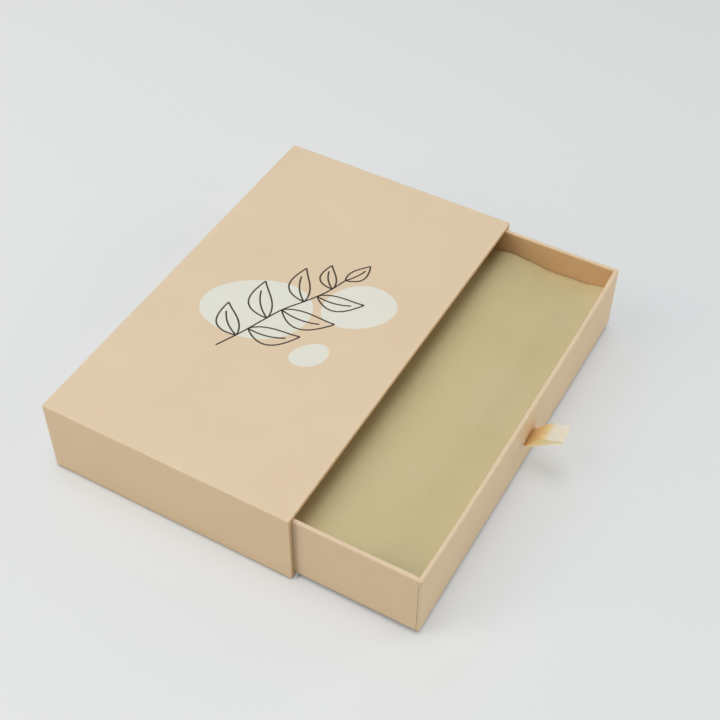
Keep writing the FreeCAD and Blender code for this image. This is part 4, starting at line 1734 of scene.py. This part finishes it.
def axes_at(azimuth: float, elevation: float) -> tuple[Array, Array, Array]:
    """Give the right, up and back axes of a thing that looks down from a direction.

    Args:
        azimuth: The direction's turn about Z, in degrees.
        elevation: The direction's height, in degrees.

    Returns:
        The three unit axes. The back one points in the direction itself.
    """
    turn, lift = math.radians(azimuth), math.radians(elevation)
    right = np.array([-math.sin(turn), math.cos(turn), 0.0])
    back = np.array([math.cos(lift) * math.cos(turn), math.cos(lift) * math.sin(turn), math.sin(lift)])
    return right, np.cross(back, right), back


def stand(
    thing: bpy.types.Object, axes: tuple[Array, Array, Array], target: Sequence[float], away: float
) -> None:
    """Turn a camera or a lamp by its three axes and stand it some way behind its target.

    Args:
        thing: The camera or lamp.
        axes: Its right, up and back axes.
        target: What it faces.
        away: How far it stands from the target.
    """
    matrix = np.eye(4)
    matrix[:3] = np.stack([*axes, np.array(target) + axes[2] * away], axis=1)
    thing.matrix_world = Matrix(matrix.tolist())


@dataclass(frozen=True)
class PhotoCamera:
    """The camera of the photograph: where it stands, what it looks at and its lens."""

    azimuth: float = -60.682
    elevation: float = 47.149
    distance: float = 0.70294
    target: tuple[float, float, float] = (0.027876, 0.022014, 0.0)
    roll: float = math.radians(0.278)
    lens: float = 65.286
    sensor: float = 36.0
    clip: tuple[float, float] = (0.01, 20.0)

    def build(self) -> None:
        """Make the camera and give it to the scene."""
        right, up, back = axes_at(self.azimuth, self.elevation)
        cosine, sine = math.cos(self.roll), math.sin(self.roll)
        data = bpy.data.cameras.new("photo_camera")
        data.lens = self.lens
        data.sensor_width = self.sensor
        data.clip_start, data.clip_end = self.clip
        camera = add_object("photo_camera", data)
        rolled = (cosine * right + sine * up, cosine * up - sine * right, back)
        stand(camera, rolled, self.target, self.distance)
        bpy.context.scene.camera = camera


@dataclass(frozen=True)
class SoftLamp:
    """A large round lamp that faces the box from some way off."""

    name: str
    azimuth: float
    elevation: float
    power: Colour
    size: float = 1.1
    distance: float = 2.0
    target: tuple[float, float, float] = (0.03, 0.0, 0.02)

    def build(self) -> None:
        """Hang the lamp: its power is the strongest of its three shares, which also tint it."""
        strongest = max(self.power)
        data = bpy.data.lights.new(self.name, "AREA")
        data.shape = "DISK"
        data.size = self.size
        data.energy = strongest
        data.color = tuple(share / strongest for share in self.power)
        lamp = add_object(self.name, data)
        stand(lamp, axes_at(self.azimuth, self.elevation), self.target, self.distance)


@dataclass(frozen=True)
class FloorFinish:
    """A pale floor, with a painted shadow where the box stands on it, that is partly plain shine where it
    is seen.

    The shine dims evenly along X and Y, within its field, as a painted falloff of light. It grows to the
    whole far from the box, over the fade, where it takes the backdrop's colour. Touch values are pairs, for
    the floor beside the sleeve and for that under the tray: how far occlusion looks, and where the painted
    shadow is darkest and where it ends.
    """

    name: str
    backdrop: Colour
    colour: Colour = (0.80, 0.81, 0.80)
    roughness: float = 0.75
    gloss: float = 0.2
    shine: Colour = (0.692, 0.702, 0.714)
    shine_per_x: Colour = (-0.12, -0.0965, -0.0345)
    shine_per_y: Colour = (-0.20, -0.222, -0.26)
    shine_field: tuple[tuple[float, float], tuple[float, float]] = ((-0.35, 0.35), (-0.3, 0.45))
    shine_share: float = 0.5
    least_shine: float = 0.35
    fade: tuple[float, float] = (0.7, 2.4)
    touch_reach: tuple[float, float] = (0.0028, 0.0036)
    touch_low: tuple[float, float] = (0.15, 0.50)
    touch_high: tuple[float, float] = (0.95, 0.90)
    contact_shadow_colour: Colour = (0.30, 0.24, 0.17)
    touch_blend: float = 2.0 * MM

    def material(self) -> bpy.types.Material:
        """Build the floor's material.

        Returns:
            The new material.
        """
        material, graph, shader = new_material(self.name)
        place = graph.place()
        parts = graph.add("ShaderNodeSeparateXYZ", {0: place}).outputs
        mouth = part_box("sleeve_wrap")[1].x
        beyond = graph.span(parts[0], mouth, mouth + self.touch_blend)
        pairs = (self.touch_reach, self.touch_low, self.touch_high)
        reach, least, most = (graph.span(beyond, 0.0, 1.0, *pair) for pair in pairs)
        close = graph.add("ShaderNodeAmbientOcclusion", {"Distance": reach}, samples=8)
        free = graph.span(close.outputs["AO"], least, most)
        # Painted contact shadow: where occlusion finds the box close, the colour darkens towards the shadow
        # colour and the shine dims.
        graph.feed(shader.inputs["Base Color"], graph.blend(free, self.contact_shadow_colour, self.colour))
        shader.inputs["Roughness"].default_value = self.roughness
        shader.inputs["Specular IOR Level"].default_value = self.gloss
        away = graph.add("ShaderNodeVectorMath", {0: place}, operation="LENGTH").outputs["Value"]
        far = graph.span(away, *self.fade)
        tone = graph.blend(far, self.tone(graph, parts), self.backdrop)
        strength = graph.span(free, 0.0, 1.0, self.least_shine)
        shine = graph.add("ShaderNodeEmission", {"Color": tone, "Strength": strength})
        share = graph.times(graph.seen_share(), graph.span(far, 0.0, 1.0, self.shine_share, 1.0))
        mix = graph.add("ShaderNodeMixShader", {0: share, 1: shader.outputs[0], 2: shine.outputs[0]})
        graph.feed(graph.tree.nodes["Material Output"].inputs["Surface"], mix.outputs[0])
        return material

    def tone(self, graph: Graph, parts: Sequence[Socket]) -> Socket:
        """Mix the shine's colour: it dims evenly along both axes, held at the ends of its field.

        Args:
            graph: The graph of the floor's material.
            parts: The place on the floor, as X, Y and Z.

        Returns:
            The shine's colour.
        """
        tone: object = self.shine
        for part, (low, high), slope in zip(parts, self.shine_field, (self.shine_per_x, self.shine_per_y)):
            held = graph.add("ShaderNodeClamp", {"Value": part, "Min": low, "Max": high}).outputs[0]
            step = graph.add("ShaderNodeVectorMath", {0: held, 1: slope, 2: tone}, operation="MULTIPLY_ADD")
            tone = step.outputs[0]
        return tone


@dataclass(frozen=True)
class Studio:
    """A plain pale floor, a faint even sky and soft lamps on all sides of the box."""

    sky: Colour = (0.239, 0.232, 0.207)
    backdrop: Colour = (0.735, 0.75, 0.75)
    floor_reach: float = 6.0
    floor_points: int = 9
    lamps: tuple[SoftLamp, ...] = (
        SoftLamp("top_lamp", 0.0, 90.0, (15.0, 15.5, 16.4)),
        SoftLamp("high_left_lamp", -135.0, 50.0, (9.81, 9.85, 9.10)),
        SoftLamp("low_left_lamp", -135.0, 22.0, (10.49, 8.91, 6.75)),
        SoftLamp("low_mouth_lamp", 0.0, 22.0, (5.17, 4.63, 3.42)),
        SoftLamp("low_far_lamp", 45.0, 22.0, (9.92, 9.64, 8.26)),
        SoftLamp("high_far_lamp", 135.0, 50.0, (1.26, 3.15, 5.80)),
    )

    def build(self) -> None:
        """Make the floor, the sky and the lamps, and set the view transform."""
        self.build_floor()
        self.build_sky()
        for lamp in self.lamps:
            lamp.build()
        bpy.context.scene.view_settings.view_transform = "Standard"

    def build_floor(self) -> None:
        """Lay the floor, a square about the origin."""
        span = np.linspace(-self.floor_reach, self.floor_reach, self.floor_points)
        across, along = np.meshgrid(span, span)
        points = np.stack([across, along, np.zeros_like(across)], axis=-1)
        floor = build_object("floor", points, grid_quads(self.floor_points, self.floor_points))
        wear_finish(floor, FloorFinish("pale_floor", self.backdrop).material())

    def build_sky(self) -> None:
        """Light faintly from all round, with a pale backdrop for the rays that show it."""
        world = bpy.data.worlds.new("studio_sky")
        bpy.context.scene.world = world
        world.use_nodes = True
        world.node_tree.nodes.clear()
        graph = Graph(world.node_tree)
        light, pale = (
            graph.add("ShaderNodeBackground", {"Color": colour, "Strength": 1.0}).outputs[0]
            for colour in (self.sky, self.backdrop)
        )
        mix = graph.add("ShaderNodeMixShader", {0: graph.seen_share(), 1: light, 2: pale})
        graph.add("ShaderNodeOutputWorld", {0: mix.outputs[0]})


# The whole scene

def clear_start_up_objects() -> None:
    """Remove whatever the start-up scene holds besides the frame."""
    kept = {*frame["nodes"].values(), *frame["bodies"].values()}
    for extra in [item for item in bpy.data.objects if item not in kept]:
        bpy.data.objects.remove(extra)


def make_finishes(effects: Effects) -> Finishes:
    """Build each slot's material.

    Args:
        effects: The shared node groups.

    Returns:
        The materials by slot.
    """
    peach = linear_colour(219, 196, 166)
    deeper_peach = linear_colour(214, 190, 159)
    finishes = {
        Slot.WRAP: PaperFinish(
            "peach_wrap_paper",
            colour=peach,
            shade=deeper_peach,
            roughness=0.48,
            # Lighter folds: part wear, part painted highlight.
            rub_and_highlight=linear_colour(240, 222, 194),
            # Dark seam lines, and the painted shade along the tray's base fold.
            line=linear_colour(150, 116, 80),
            # Painted shade on the inward faces.
            inside=(1.0, 0.845, 0.70),
        ),
        Slot.LINING: PaperFinish(
            "lining_paper_finish",
            colour=linear_colour(205, 176, 136),
            shade=linear_colour(196, 166, 126),
            roughness=0.6,
        ),
        Slot.COVER: PaperFinish("cover_paper_finish", colour=peach, shade=deeper_peach),
        Slot.BOARD: PaperFinish(
            "greyboard_finish",
            colour=linear_colour(160, 150, 136),
            shade=linear_colour(138, 128, 115),
            roughness=0.85,
            cloud=0.9,
            cloud_scale=90.0,
            tooth=1.0,
            bump=0.00004,
        ),
        Slot.STAY: PaperFinish(
            "gummed_stay_finish",
            colour=linear_colour(176, 140, 98),
            shade=linear_colour(160, 124, 84),
            roughness=0.6,
        ),
        Slot.SHEET: PaperFinish(
            "kraft_tissue_finish",
            colour=linear_colour(202, 188, 146),
            shade=linear_colour(193, 178, 131),
            roughness=0.7,
            cloud=0.8,
            cloud_scale=16.0,
        ),
        Slot.PAD: FoamFinish(
            "pad_foam_finish", colour=linear_colour(232, 230, 222), shade=linear_colour(212, 209, 200)
        ),
        Slot.RIBBON: RibbonFinish(
            "gold_ribbon_finish",
            tip=linear_colour(242, 232, 212),
            middle=linear_colour(248, 218, 134),
            root=linear_colour(252, 198, 108),
            # The lower ply's colour, lightened as painted light.
            under=linear_colour(240, 237, 200),
            slot_shade=linear_colour(206, 150, 92),
        ),
    }
    return {slot: finish.material(effects) for slot, finish in finishes.items()}


def make_inks(effects: Effects) -> tuple[bpy.types.Material, bpy.types.Material]:
    """Build the two inks of the print, the pale one first.

    Args:
        effects: The shared node groups.

    Returns:
        The pale ink and the dark one.
    """
    pale = PaperFinish("pale_ink", linear_colour(221, 218, 206), linear_colour(217, 214, 201))
    dark = PaperFinish("dark_ink", linear_colour(66, 48, 31), linear_colour(56, 41, 27), roughness=0.55)
    return pale.material(effects), dark.material(effects)


def dress_nodes(finishes: Finishes) -> None:
    """Give every node that came with the frame the finish of its slot.

    Args:
        finishes: The materials by slot.
    """
    for entry in frame["record"]["subparts"]:
        for holder in frame["nodes"][entry["node"]].material_slots:
            holder.material = finishes[Slot(entry["material_slot"])]


def main() -> None:
    """Build the box's looks and the studio round it."""
    logging.basicConfig(level=logging.INFO, format="%(name)s %(message)s")
    clear_start_up_objects()
    effects = Effects()
    finishes = make_finishes(effects)
    dress_nodes(finishes)
    sleeve = Sleeve(finishes)
    sleeve.build()
    TopPrint(sleeve, *make_inks(effects)).build()
    Tray(finishes).build()
    PullRibbon(finishes).build()
    Contents(finishes).build()
    PhotoCamera().build()
    Studio().build()


if __name__ == "__main__":
    main()
